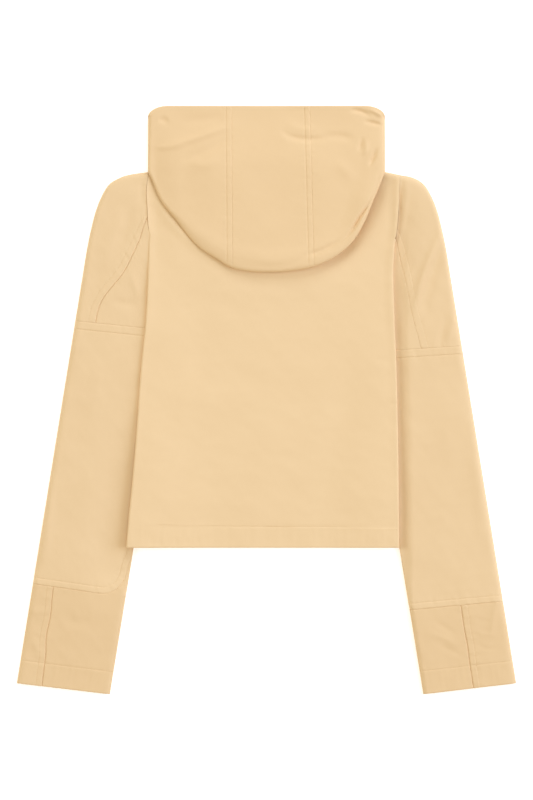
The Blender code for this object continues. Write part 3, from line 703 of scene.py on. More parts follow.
@dataclass(frozen=True)
class Thread:
    """Shape of one stitch: a short capsule whose ends sink into the cloth.

    Attributes:
        pitch: mm from one stitch to the next.
        length: visible length of a stitch, mm.
        radius: half its thickness, mm.
        sink: how far its ends lie below its middle, mm.
    """

    pitch: float = 3.0
    length: float = 2.3
    radius: float = 0.24
    sink: float = 0.3

    def mesh(self, name: str, lines: Sequence[Stitching]) -> bpy.types.Object:
        """All stitches of some lines as one object.

        Args:
            name: the object's name.
            lines: the lines of stitching.

        Returns:
            The object. Each stitch is four rings of six points and two end points; a ring's middle lies at
            its share of the length and sinks by the square of that share.
        """
        share = np.array([-1.0, -0.78, -0.3, 0.3, 0.78, 1.0])
        girth = np.array([0.8, 1.0, 1.0, 0.8])
        turn = np.arange(6) * math.tau / 6.0
        points = []
        for line in lines:
            middle, tangent, normal = line.frames(self.pitch)
            normal = normal * np.sign(normal[:, 2:] * (-1.0 if line.under else 1.0))
            across = np.cross(normal, tangent)
            centre = middle + normal * line.lift

            side = across[:, None] * np.cos(turn)[:, None] + normal[:, None] * np.sin(turn)[:, None]
            place = [centre + tangent * (s * self.length / 2.0) - normal * (self.sink * s * s) for s in share]
            rings = [base[:, None] + side * (r * self.radius) for base, r in zip(place[1:-1], girth)]
            rings = np.stack(rings, axis=1)
            ends = np.stack([place[0], place[-1]], axis=1)
            points.append(np.concatenate([rings.reshape(len(middle), -1, 3), ends], axis=1))
        stacked = np.concatenate(points)
        here = np.arange(6)
        ahead = (here + 1) % 6
        sides = [joined(k * 6 + here, k * 6 + ahead, k * 6 + 6 + ahead, k * 6 + 6 + here) for k in range(3)]
        nothing = np.full(6, -1)
        caps = [
            joined(ahead, here, np.full(6, 24), nothing),
            joined(18 + here, 18 + ahead, np.full(6, 25), nothing),
        ]
        one = np.concatenate([*sides, *caps])
        shift = (np.arange(len(stacked)) * 26)[:, None, None]
        faces = np.where(one < 0, -1, one + shift).reshape(-1, 4)
        probe = stacked[0][one[:18]]
        halves = np.concatenate([probe[:, [0, 1, 2]], probe[:, [0, 2, 3]]]) - stacked[0].mean(0)
        if np.linalg.det(halves).sum() < 0.0:
            triangle = faces[:, 3] < 0
            faces[triangle] = faces[triangle][:, [2, 1, 0, 3]]
            faces[~triangle] = faces[~triangle][:, ::-1]
        return add_mesh(name, stacked.reshape(-1, 3), faces, None)


@dataclass
class ClothPiece:
    """One cut piece of the garment.

    Attributes:
        node: the CAD node that it stands for.
        slot: its material slot.
        rests_on: what it lies on.
        patches: its stretches of cloth.
        held: how it is held; not used.
        lines: its topstitching.
    """

    node: str
    slot: Slot
    rests_on: tuple[str, ...]
    patches: list[Patch]
    held: Hold = Hold.LAID
    lines: list[Stitching] = field(default_factory=list)

    def sew(self, cloth: bpy.types.Material, thread: bpy.types.Material) -> bpy.types.Object:
        """Makes the piece and its stitches, dresses them, hangs them under the root and hides its CAD part.

        Args:
            cloth: the cloth's material.
            thread: the stitches' material.

        Returns:
            The piece's object.
        """
        piece = add_mesh(self.node + "_twill", *closed_wall(self.patches))
        piece.data.set_sharp_from_angle(angle=math.radians(50.0))
        piece.data.materials.append(cloth)
        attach(piece, "root")
        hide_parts(self.node)
        if self.lines:
            stitches = Thread().mesh(self.node + "_stitches", self.lines)
            stitches.data.materials.append(thread)
            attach(stitches, "root")
        list(self.rests_on)
        mesh = piece.data
        log.info("%s: %d faces, %d stitch lines", piece.name, len(mesh.polygons), len(self.lines))
        return piece


# --- outlines, mm; x is the distance from the middle line
OUTER_SLEEVE_EDGE = (
    (175.8, 266.7), (187.8, 259.5), (197.4, 245.1), (203.4, 230.7), (209.4, 209.1), (215.4, 180.3),
    (219.9, 152.5), (299.4, -339.3),
)
INNER_SLEEVE_EDGE = ((106.0, 165.0), (112.0, 115.0), (116.4, 87.0), (159.6, -179.7), (187.8, -352.5))
HOOD_LOWER_EDGE = (
    (-142.0, 273.9), (-138.6, 266.7), (-126.6, 239.1), (-108.6, 216.3), (-79.8, 182.7), (-60.6, 170.1),
    (-41.4, 158.7), (-22.2, 154.5), (4.2, 153.3), (25.8, 154.5), (54.6, 159.3), (83.4, 172.5),
    (102.6, 189.3), (116.4, 211.5), (128.4, 240.3), (138.4, 264.0), (142.0, 273.9),
)


@dataclass(frozen=True)
class HalfShape:
    """What differs between the garment's two halves.

    Attributes:
        side: which half.
        armhole: armhole seam from the shoulder to the underarm.
        body_edge: the back's visible fold from the armhole to the hem.
        cross: outer and inner y of the seam round the upper sleeve.
        lower: outer and inner y of the seam above the cuff.
        gusset: slanting back seam of the upper sleeve.
        upright: seam in the cuff, top and bottom.
        strip: how far past the sleeve's inner edge the forearm panel ends.
        hem_stitch: height of the hem's stitches above the hem at the body's edge.
        edge_lift: extra height of the body's edge at the hem.
        slope: how far the sleeve falls towards the body's edge at the hem.
        slope_reach: over what width.
        slope_start: share of that slope near the underarm.
        waver: how far the cuff's upright seam wavers to both sides.
        gusset_dip: depth of the slanting seam's groove, mm.
        arm_dip: depth of the armhole seam's groove, mm.
    """

    side: Side
    armhole: tuple[Point, ...]
    body_edge: tuple[Point, ...]
    cross: Point
    lower: Point
    gusset: tuple[Point, ...]
    upright: tuple[Point, Point]
    strip: float
    hem_stitch: float
    edge_lift: float
    slope: float
    slope_reach: float
    slope_start: float
    waver: float
    gusset_dip: float
    arm_dip: float


LEFT = HalfShape(
    side=Side.LEFT,
    armhole=(
        (141.0, 273.9), (143.6, 256.0), (142.8, 231.0), (140.8, 204.3), (135.5, 189.0), (124.0, 175.5),
        (106.0, 165.0),
    ),
    body_edge=((140.8, 204.3), (142.3, 150.0), (144.8, 96.0), (150.4, 40.0), (156.6, -48.0), (168.0, -176.7)),
    cross=(95.1, 83.6),
    lower=(-219.9, -236.0),
    gusset=((143.0, 219.5), (151.8, 193.9), (163.8, 166.7), (183.8, 136.3), (194.2, 125.1), (205.4, 92.3)),
    upright=((255.9, -225.3), (269.4, -340.5)),
    strip=4.0,
    hem_stitch=29.0,
    edge_lift=2.6,
    slope=6.2,
    slope_reach=58.0,
    slope_start=0.16,
    waver=0.8,
    gusset_dip=0.9,
    arm_dip=0.05,
)
RIGHT = HalfShape(
    side=Side.RIGHT,
    armhole=(
        (160.2, 269.9), (159.6, 256.0), (158.6, 232.0), (157.0, 211.5), (154.2, 193.5), (146.0, 180.5),
        (131.0, 171.0), (106.0, 165.0),
    ),
    body_edge=(
        (154.4, 193.5), (152.2, 158.7), (153.0, 110.0), (155.4, 50.0), (157.8, -60.0), (159.0, -176.7),
    ),
    cross=(65.1, 57.8),
    lower=(-240.9, -251.5),
    gusset=((155.5, 194.2), (158.0, 179.1), (165.6, 147.2), (172.3, 113.6), (177.4, 90.1), (184.9, 64.0)),
    upright=((233.2, -248.8), (248.3, -344.1)),
    strip=29.0,
    hem_stitch=22.0,
    edge_lift=1.4,
    slope=5.6,
    slope_reach=17.0,
    slope_start=0.8,
    waver=0.25,
    gusset_dip=0.28,
    arm_dip=0.3,
)


# --- sleeves
@dataclass
class Sleeve:
    """A flattened tube of cloth. Its stations run 0 armhole, 1 cross seam, 2 lower seam, 3 cuff hem. A girth
    is the distance round it from its outer edge: the upper layer, then past the inner edge the under layer.

    Attributes:
        shape: the half that it belongs to.
        relief: its creases.
        top: height over its middle, mm.
        cuff_top: height at its hem, mm.
        edge_reach: how far the roundness of its edges reaches in, mm.
        gusset_stitch: distance of the topstitching from the slanting seam, mm.
        cross_stitch: the same below the cross seam.
        lower_stitch: the same round the forearm panel's lower edge.
        upright_stitch: the same outside the cuff's upright seam.
        hem_stitch: height of the stitches above the cuff's hem.
        corner: width and height of the forearm panel's rounded lower corner.
        drift: how far that panel's long seam drifts out, from what height, over what.
        strip_width: width of the cuff's strip beside the forearm panel.
        room: how far its upper layer can sink before it meets the under layer.
        front_seam: place of the plain seam on the under layer, in widths.
    """

    shape: HalfShape
    relief: Relief
    top: float = 8.8
    cuff_top: float = 6.6
    edge_reach: float = 7.0
    gusset_stitch: float = 9.0
    cross_stitch: float = 9.6
    lower_stitch: float = 7.6
    upright_stitch: float = 7.6
    hem_stitch: float = 27.5
    corner: Point = (27.0, 30.0)
    drift: tuple[float, float, float] = (8.0, 75.0, 45.0)
    strip_width: float = 18.0
    room: float = 4.8
    front_seam: float = -0.345

    def __post_init__(self) -> None:
        """Works out the edge curves and where the stations lie on them."""
        shape = self.shape
        rest = [point for point in OUTER_SLEEVE_EDGE if point[0] > shape.armhole[0][0]]
        self.outer = smooth_curve([shape.armhole[0], *rest], 400)
        self.inner = smooth_curve(INNER_SLEEVE_EDGE, 400)
        self.armhole = smooth_curve(shape.armhole)
        self.gusset = smooth_curve(shape.gusset)
        self.fold = smooth_curve(shape.body_edge)
        seams = np.array([shape.cross, shape.lower])
        self.outer_stops = np.array([0.0, *share_at_y(self.outer, seams[:, 0]), 1.0])
        self.inner_stops = np.array([0.0, *share_at_y(self.inner, seams[:, 1]), 1.0])
        self.name = shape.side.word

    def ends(self, station: Array) -> tuple[Array, Array]:
        """The outer and inner edge points of stations."""
        at = np.arange(4)
        outer = along(self.outer, np.interp(station, at, self.outer_stops))
        inner = along(self.inner, np.interp(station, at, self.inner_stops))
        return outer, inner

    def width(self, station: Array) -> Array:
        """Flat width at stations."""
        outer, inner = self.ends(station)
        return np.hypot(*np.moveaxis(inner - outer, -1, 0))

    def length(self, low: float, high: float, across: Array) -> Array:
        """Length between two stations at a share across the sleeve, between those of its two edges."""
        outer = np.hypot(*np.moveaxis(self.ends(low)[0] - self.ends(high)[0], -1, 0))
        inner = np.hypot(*np.moveaxis(self.ends(low)[1] - self.ends(high)[1], -1, 0))
        return outer + (inner - outer) * np.clip(across, 0.0, 1.0)

    def plan(self, station: Array, across: Array) -> Array:
        """x and y at a share across: a straight chord that bends to the armhole's curve near station 0."""
        outer, inner = self.ends(station)
        flat = outer + (inner - outer) * across[..., None]
        first, last = self.armhole[0], self.armhole[-1]
        bow = along(self.armhole, across) - (first + (last - first) * across[..., None])
        return flat + bow * np.clip(1.0 - station, 0.0, 1.0)[..., None]

    def level(self, x: Array, y: Array) -> Array:
        """Height that the relief and the slope towards the body's edge add to the upper layer.

        Args:
            x: distance from the middle line, mm.
            y: y, mm.

        Returns:
            Heights in mm. The slope deepens from the underarm to the hem and ends at the cuff. Below zero
            the sum is divided by the fourth root of one plus its share of the room to the fourth, so that
            it stays inside it.
        """
        shape = self.shape
        away = x - x_at(self.fold, np.clip(y, self.fold[-1, 1], self.fold[0, 1]))
        depth = soft_step((90.0 - y) / 290.0) ** 1.6 * (1.0 - soft_step((-195.0 - y) / 40.0))
        depth = depth + (1.0 - depth) * shape.slope_start * soft_step((212.0 - y) / 30.0)
        slope = -shape.slope * depth * (1.0 - soft_step(away / shape.slope_reach))
        lift = slope + self.relief.height_at(x * shape.side.value, y)
        return np.where(lift < 0.0, lift / (1.0 + (lift / self.room) ** 4) ** 0.25, lift)

    def surface(self, station: Array, girth: Array, inset: float = 0.0, extra: Array | float = 0.0) -> Array:
        """The tube's face: level above and below, a quarter ellipse at both edges.

        Args:
            station: place along the sleeve.
            girth: distance round it, mm.
            inset: distance below its outside, mm.
            extra: seam relief, mm.

        Returns:
            Points in mm.
        """
        station, girth = np.broadcast_arrays(np.asarray(station, float), np.asarray(girth, float))
        width = self.width(station)
        round_share = np.mod(girth / width, 2.0)
        across = np.where(round_share <= 1.0, round_share, 2.0 - round_share)
        across = (inset + (width - 2.0 * inset) * across) / width
        point = self.plan(station, across)
        edge = width * np.minimum(across, 1.0 - across) - inset
        rise = roundover(edge, self.edge_reach - inset)
        lift = self.level(point[..., 0], point[..., 1])
        top = self.top + (self.cuff_top - self.top) * soft_step(station - 2.0)
        middle = 0.45 * top
        upper = middle + (top + lift + extra - inset - middle) * rise
        seam_under = np.clip(-np.asarray(extra), 0.0, None) * (0.0 if inset else 0.8)
        under = middle + (inset + seam_under - middle) * rise
        z = np.where(round_share < 1.0, upper, under)
        return np.concatenate([point, z[..., None]], -1) * [self.shape.side.value, 1.0, 1.0]

    def patch(self, station: Array, girth: Array, extra: Array | float) -> Patch:
        """Outer and inner grid with the same seam relief, and the place in the cloth."""
        station, girth = np.broadcast_arrays(station, girth)
        run = 165.0 * np.clip(station, 0.0, 1.0) + 320.0 * np.clip(station - 1.0, 0.0, 1.0)
        weave = joined(girth, -run - 120.0 * np.clip(station - 2.0, 0.0, 1.0))
        outer = self.surface(station, girth, 0.0, extra)
        return Patch(outer, self.surface(station, girth, CLOTH, extra), weave)

    def station_rows(self, low: float, high: float, steps: Array, across: Array, step: float) -> Array:
        """Stations of a grid's rows from one seam to the next: at fixed steps from both, even between."""
        length = self.length(low, high, across)
        return low + (high - low) * (spread(steps, steps, length, step) / length[:, None]).T

    def gusset_girth(self, station: Array) -> Array:
        """Girth of the slanting seam at stations: the place on the flat plan nearest to its curve."""
        s, w = np.meshgrid(np.linspace(0.0, 1.0, 81), np.linspace(0.05, 0.75, 181), indexing="ij")
        point = self.plan(s, w)
        gap = distance_to(self.gusset, point[..., 0], point[..., 1])
        at = w[0][gap.argmin(1)]
        knots = s[:, 0]
        smooth = np.polynomial.Polynomial.fit(knots, at, 7)
        return smooth(np.clip(station, 0.0, 1.0)) * self.width(station)

    def meet_fold(self, girth: Array, width: Array, reach: float = 6.0) -> Array:
        """Moves the line of points nearest to the inner edge onto it, and its neighbours less and less.

        Args:
            girth: girths, rows by columns.
            width: flat width in each row.
            reach: how far from the inner edge a point still moves, mm.

        Returns:
            Girths less the nearest one's distance from the edge times what is left of the reach. A row that
            ends close to the edge stays as it is.
        """
        away = girth - width[:, None]
        nearest = np.take_along_axis(away, np.abs(away).argmin(1)[:, None], 1)
        room = np.minimum(reach, np.minimum(away.max(1), -away.min(1)))[:, None]
        weight = np.clip(1.0 - np.abs(away) / np.maximum(room, 0.01), 0.0, 1.0)
        return girth - np.where(room > 2.0 * np.abs(nearest), nearest, 0.0) * weight

    def fold_girths(self, girth: Array) -> Array:
        """Lines of points on both sides of a flattened edge, a row for each girth of that edge."""
        return girth[:, None] + np.concatenate([-FOLD_STEPS[:0:-1], FOLD_STEPS])

    def stitch_face(self, station: Array, girth: Array) -> Array:
        """The face as a line of stitches presses it down."""
        return self.surface(station, girth, 0.0, -STITCH_DEPTH)

    def upper(self) -> tuple[ClothPiece, ClothPiece]:
        """Top sleeve and under sleeve, parted by the slanting seam above and a plain seam on the under layer.

        Returns:
            Both pieces, each a grid of stations by girths with fine lines at its seams and stitches.
        """
        steps = ticks(EDGE_STEPS, [6.5, 8.5])
        stations = self.station_rows(0.0, 1.0, steps, np.array([0.5]), 1.9)[:, 0]
        stations[[0, -1]] += np.array([0.5, -0.5]) * SEAM / 140.0
        width, seam = self.width(stations), self.gusset_girth(stations)
        half, stitch, shape = SEAM / 2.0, self.gusset_stitch, self.shape
        down, up = stations[:, None], 1.0 - stations[:, None]

        first = self.front_seam * width
        low = first[:, None] + (-FOLD_REACH - 3.0 - first)[:, None] * np.linspace(0.0, 1.0, 10)
        low[:, 0] += half
        near = ticks(EDGE_STEPS, stitch + STITCH_STEPS, [6.4, 12.5])
        high = FOLD_LEAD + spread([0.0], near, seam - half - FOLD_LEAD, 1.9)
        girth = np.hstack([low, self.fold_girths(0.0 * width), high])
        to_seam = (seam - half)[:, None] - girth
        length = self.length(0.0, 1.0, girth / width[:, None])
        slant = SewnEdge(stitch, 11, dip=shape.gusset_dip, swell=0.14, dent=0.13)
        extra = slant.height_at(to_seam, length * down)
        extra += SewnEdge(0.0, 12, dip=shape.arm_dip).height_at(length * down, girth)
        extra += SewnEdge(0.0, 13, dip=0.4).height_at(length * up, girth)
        extra += SewnEdge(0.0, 14, pucker=0.0).height_at(girth - first[:, None], length * down)
        top = self.patch(down, girth, extra)
        line = np.linspace(0.03, 0.985, 60)
        stitches = Stitching(self.stitch_face, line, self.gusset_girth(line) - stitch, 0.08)

        start = seam + half
        face = start[:, None] + spread(EDGE_STEPS, [0.0], width - FOLD_LEAD - start, 1.9)
        fold = self.fold_girths(width)
        last = 2.0 * width + first
        tail = fold[:, -1:] + (last - half - fold[:, -1])[:, None] * np.linspace(0.0, 1.0, 11)[1:]
        girth = np.hstack([face, fold, tail])
        share = girth / width[:, None]
        length = self.length(0.0, 1.0, np.where(girth > width[:, None], 2.0 - share, share))
        extra = SewnEdge(0.0, 15, dip=shape.gusset_dip).height_at(girth - start[:, None], length * down)
        extra += SewnEdge(0.0, 16).height_at(length * down, girth)
        extra += SewnEdge(0.0, 17, dip=0.4).height_at(length * up, girth)
        under = self.patch(down, girth, extra)
        names = f"top_sleeve_{self.name}", f"under_sleeve_{self.name}"
        return (
            ClothPiece(names[0], Slot.SLEEVE, names[1:], [top], Hold.FOLDED, [stitches]),
            ClothPiece(names[1], Slot.SLEEVE, names[:1], [under], Hold.FOLDED),
        )

    def panel_seam(self, above: Array, station: Array) -> Array:
        """Girth of the forearm panel's long seam: it drifts out, then rounds the panel's lower corner.

        Args:
            above: height above the lower seam, mm.
            station: the same place as a station.

        Returns:
            Width plus strip, less a soft step of the drift, less what a quarter ellipse leaves of the corner.
        """
        far, start, over = self.drift
        corner = self.corner[0] * (1.0 - roundover(above, self.corner[1]))
        return self.width(station) + self.shape.strip - far * soft_step((start - above) / over) - corner

    def forearm(self) -> tuple[ClothPiece, ClothPiece]:
        """The forearm panel with its rounded lower corner, and the cuff with its strip beside that panel.

        Returns:
            Both pieces.
        """
        half, stitch = SEAM / 2.0, self.lower_stitch
        length = float(self.length(1.0, 2.0, np.array(0.5)))
        low_steps = ticks(EDGE_STEPS, stitch + STITCH_STEPS, even(9.2, 46.0, 1.15), [46.0])
        high_steps = ticks(EDGE_STEPS, self.cross_stitch + STITCH_STEPS, [6.4, 13.0])
        above = spread(low_steps, high_steps, [length], 2.3)[0][::-1]
        stations = 2.0 - above / length
        stations[0] += half / length
        seam, width = self.panel_seam(above, stations), self.width(stations)
        end = width + self.shape.strip + self.strip_width

        first = end - 2.0 * width
        free = (-FOLD_REACH - 3.0 - first - half)[:, None]
        low = (first + half)[:, None] + free * np.linspace(0.0, 1.0, 10)
        near = ticks(EDGE_STEPS, stitch + STITCH_STEPS, even(9.2, 44.0, 1.3), [44.0])
        high = FOLD_LEAD + spread([0.0], near, seam - half - FOLD_LEAD, 2.3)
        girth = self.meet_fold(np.hstack([low, self.fold_girths(0.0 * width), high]), width)
        flat_across = np.clip(girth / width[:, None], 0.0, 1.0)
        to_cross = self.length(1.0, 2.0, flat_across) * (stations[:, None] - 1.0)
        low_border = joined(np.linspace(-400.0, seam[-1], 8), 0.0)
        border = np.concatenate([low_border, joined(seam, above)[::-1][1::2]])
        flat = np.broadcast_to(above[:, None], girth.shape)
        to_border, run = np.full(girth.shape, FAR), np.zeros(girth.shape)
        close = (flat < 20.0) | (seam[:, None] - girth < 60.0)
        to_border[close], share = nearest_on(border, girth[close], flat[close])
        run[close] = share * BORDER_LENGTH
        extra = SewnEdge(self.cross_stitch, 21, dip=0.4, swell=0.2, dent=0.28).height_at(to_cross, girth)
        extra += SewnEdge(stitch, 22, dip=0.4, swell=0.2, dent=0.28).height_at(to_border, run)
        extra += SewnEdge(0.0, 23, pucker=0.0).height_at(girth - first[:, None], flat)
        joint = stations - half / length * (above == 0.0)
        panel = self.patch(joint[:, None], girth, extra)

        across_line = np.linspace(-0.02, 1.0, 60)
        cross_station = 1.0 + self.cross_stitch / self.length(1.0, 2.0, across_line)
        inner_border = self.offset_line(border, stitch)
        lines = [
            Stitching(self.stitch_face, cross_station, across_line * float(self.width(np.array(1.02)))),
            Stitching(self.stitch_face, 2.0 - inner_border[:, 1] / length, inner_border[:, 0]),
        ]
        name, below = f"forearm_{self.name}", f"cuff_{self.name}"
        forearm = ClothPiece(name, Slot.SLEEVE, (below,), [panel], Hold.FOLDED, lines)
        return forearm, self.cuff(stations, above, seam, end, length)

    def offset_line(self, border: Array, inset: float) -> Array:
        """The visible part of a line beside the forearm panel's border, towards the inside of the panel.

        Args:
            border: girth and height of the border, from the outer edge round the corner and up.
            inset: distance, mm.

        Returns:
            Points of the line from the outer edge to where it leaves the upper layer.
        """
        dense = along(border, np.linspace(0.0, 1.0, 900))
        run = np.gradient(dense, axis=0)
        run /= np.hypot(*run.T)[:, None]
        line = dense + inset * joined(-run[:, 1], run[:, 0])
        width = float(self.width(np.array(1.9)))
        girth, above = line.T
        kept = (girth > 3.0) & (girth < width + 3.0) & (above > inset - 0.01) & (above < 250.0)
        return line[kept]

    def upright_girth(self, station: Array) -> Array:
        """Girth of the upright cuff seam: straight between its ends, with a slight waver of two sines."""
        ends = np.array(self.shape.upright)
        outer, _ = self.ends(np.array([2.0, 3.0]))
        at = np.hypot(*(ends - outer).T)
        waver = self.shape.waver * (np.sin(station * 9.0 + 1.0) + 0.6 * np.sin(station * 17.0))
        return np.interp(station, [2.0, 3.0], at) + waver * soft_step((station - 2.0) * 8.0)

    def cuff(self, stations: Array, above: Array, seam: Array, end: Array, length: float) -> ClothPiece:
        """The cuff: a band right round the sleeve from its upright seam, and a strip beside the forearm.

        Args:
            stations: rows of the strip, from the cross seam down.
            above: their height above the lower seam, mm.
            seam: girth of the forearm panel's edge in each row.
            end: girth of the strip's other edge.
            length: length of the forearm, mm.

        Returns:
            The piece.
        """
        half = SEAM / 2.0
        joint = stations + half / length * (above == 0.0)
        free = end - seam - 2.0 * half
        strip = (seam + half)[:, None] + spread(EDGE_STEPS, [0.0], free, 2.6)
        strip = self.meet_fold(strip, self.width(stations))
        border = joined(seam, above)[::-1]
        flat = np.broadcast_to(above[:, None], strip.shape)
        to_seam = distance_to(border[::2], strip, flat)
        strip_extra = SewnEdge(0.0, 31, dip=0.4).height_at(to_seam, flat)
        strip_patch = self.patch(joint[:, None], strip, strip_extra)

        hem, stitch = self.hem_stitch, self.upright_stitch
        cuff_length = float(self.length(2.0, 3.0, np.array(0.5)))
        near_hem = ticks(EDGE_STEPS[:-1], hem + STITCH_STEPS, even(4.0, hem - 2.0, 2.0))
        down = spread(EDGE_STEPS, near_hem, [cuff_length], 1.9)[0]
        rows = 2.0 + down / cuff_length
        rows[0] = joint[-1]
        width, upright = self.width(rows), self.upright_girth(rows)
        shift = (width - width[0])[:, None]
        wide_strip = strip[-1][None] + shift
        free = wide_strip[:, 0] - upright - half
        lead_in = (upright + half)[:, None] + spread(EDGE_STEPS, [1.2], free, 2.0)
        outer_fold = self.fold_girths(2.0 * width)
        gap_to_fold = outer_fold[:, 0] - wide_strip[:, -1]
        under = wide_strip[:, -1:] + gap_to_fold[:, None] * np.linspace(0.0, 1.0, 9)[1:-1]
        near = ticks(EDGE_STEPS, stitch + STITCH_STEPS, [6.2, 11.5])
        free = 2.0 * width + upright - half - outer_fold[:, -1]
        final = outer_fold[:, -1:] + spread([1.4], near, free, 2.0)
        girth = np.hstack([lead_in, wide_strip, under, outer_fold, final])
        to_hem = np.broadcast_to((cuff_length - down)[:, None], girth.shape)
        to_top = np.broadcast_to(down[:, None], girth.shape)
        from_start = girth - upright[:, None]
        from_end = 2.0 * width[:, None] + upright[:, None] - girth
        on_strip = np.zeros(girth.shape, bool)
        on_strip[:, lead_in.shape[1] : lead_in.shape[1] + strip.shape[1]] = True
        seam_top = np.where(on_strip, distance_to(border[:6], girth - shift, -to_top), to_top)
        extra = SewnEdge(0.0, 32, dip=0.4).height_at(seam_top, girth)
        extra += SewnEdge(0.0, 33, dip=1.3).height_at(from_start, to_top)
        extra += SewnEdge(stitch, 34, dip=1.3, swell=0.12, dent=0.16).height_at(from_end, to_top)
        extra += hem_relief(to_hem, girth, hem, 35)
        extra[0, on_strip[0]] = strip_extra[-1]
        band = self.patch(rows[:, None], girth, extra)

        hem_row = 3.0 - hem / cuff_length
        hem_width = float(self.width(np.array(hem_row)))
        start = float(self.upright_girth(np.array(hem_row)))
        top_run = np.linspace(start + 1.0, hem_width - 2.0, 60)
        outer_run = np.linspace(2.0 * hem_width + 2.0, 2.0 * hem_width + start - 1.0, 30)
        under_run = np.linspace(hem_width + 12.0, 2.0 * hem_width - 12.0, 40)
        upright_rows = np.linspace(2.03, 2.995, 60)
        upright_girths = self.upright_girth(upright_rows) + 2.0 * self.width(upright_rows)
        lines = [
            Stitching(self.stitch_face, np.full(60, hem_row), top_run),
            Stitching(self.stitch_face, np.full(30, hem_row - 0.012), outer_run),
            Stitching(self.stitch_face, upright_rows, upright_girths - stitch, 0.1),
            Stitching(self.stitch_face, np.full(40, hem_row), under_run, -STITCH_DEPTH, True),
        ]
        name, below = f"cuff_{self.name}", f"forearm_{self.name}"
        return ClothPiece(name, Slot.CUFF, (below,), [strip_patch, band], Hold.FOLDED, lines)

    def pieces(self) -> list[ClothPiece]:
        """The sleeve's four pieces."""
        return [*self.upper(), *self.forearm()]


def hem_relief(to_hem: Array, run: Array, stitch: float, seed: int) -> Array:
    """A turned hem: thicker up to its stitches, rounded at its fold, with puckers that fan out from them.

    Args:
        to_hem: distance above the folded edge, mm.
        run: length along the hem, mm.
        stitch: height of the stitches above the edge, mm.
        seed: start of the puckers' random waves.

    Returns:
        Heights in mm.
    """
    edge = SewnEdge(stitch, seed, dip=0.8, swell=0.06, pucker=0.09, dent=0.28)
    rng = np.random.default_rng(seed + 100)
    waves = np.zeros(np.broadcast(to_hem, run).shape)
    for length in (23.0, 37.0, 61.0):
        waves += np.sin(run * math.tau / length + rng.uniform(0.0, math.tau)) / 2.0
    return edge.height_at(to_hem, run) + 0.08 * waves * bell(to_hem - stitch * 0.45, stitch * 0.5)


# --- body
@dataclass
class BodyHalf:
    """One half of the body: its armhole, its folded edge and how high the back lies there.

    Attributes:
        shape: the half's outlines.
        neck: where shoulder seam and neckline meet.
        back_neck_y: y of the back neckline's middle.
        front_neck_y: y of the front neckline at the placket.
        sleeve_top: height of the sleeve beside the armhole, mm.
        edge_top: height of the folded edge, mm.
        fold_radius: outer radius of that fold.
        placket: half the placket's width.
    """

    shape: HalfShape
    neck: Point = (90.6, 284.7)
    back_neck_y: float = 267.0
    front_neck_y: float = 214.0
    sleeve_top: float = 8.8
    edge_top: float = 12.0
    fold_radius: float = 2.1
    placket: float = 22.0

    def __post_init__(self) -> None:
        """Works out the curves."""
        self.armhole = smooth_curve(self.shape.armhole)
        self.fold = smooth_curve(self.shape.body_edge)
        self.inner_edge = smooth_curve(INNER_SLEEVE_EDGE)
        self.arm_y = self.shape.body_edge[0][1]

    def edge_x(self, y: Array) -> Array:
        """Distance of the back's visible edge from the middle line."""
        return np.where(y >= self.arm_y, x_at(self.armhole, y), x_at(self.fold, y))

    def edge_height(self, y: Array) -> Array:
        """Height along that edge: level with the sleeve at the armhole, on top of it further down."""
        lift = soft_step((self.arm_y + 14.0 - y) / 140.0)
        hem = self.shape.edge_lift * soft_step((60.0 - y) / 220.0)
        return self.sleeve_top + (self.edge_top + hem - self.sleeve_top) * lift

    def wrap(self, y: Array) -> Array:
        """Share of the fold's full turn, which starts just below the armhole's visible end."""
        return soft_step((self.arm_y + 2.0 - y) / 18.0)

    def shoulder_y(self, x: Array) -> Array:
        """y of the shoulder seam, a straight line from the neck point to the armhole."""
        share = (np.abs(x) - self.neck[0]) / (self.shape.armhole[0][0] - self.neck[0])
        return self.neck[1] + (self.shape.armhole[0][1] - self.neck[1]) * share

    def back_top_y(self, x: Array) -> Array:
        """Upper edge of the back: half an ellipse at the neck, then the shoulder seam."""
        at = np.clip(np.abs(x) / self.neck[0], 0.0, 1.0)
        curve = self.back_neck_y + (self.neck[1] - self.back_neck_y) * (1.0 - np.sqrt(1.0 - at**2))
        return np.where(at < 1.0, curve, self.shoulder_y(x))

    def front_top_y(self, x: Array) -> Array:
        """Upper edge of a front: a quarter ellipse from the placket up to the neck, then the shoulder."""
        at = np.clip((np.abs(x) - self.placket) / (self.neck[0] - self.placket), 0.0, 1.0)
        curve = self.neck[1] - (self.neck[1] - self.front_neck_y) * np.sqrt(1.0 - at**2)
        return np.where(at < 1.0, curve, self.shoulder_y(x))


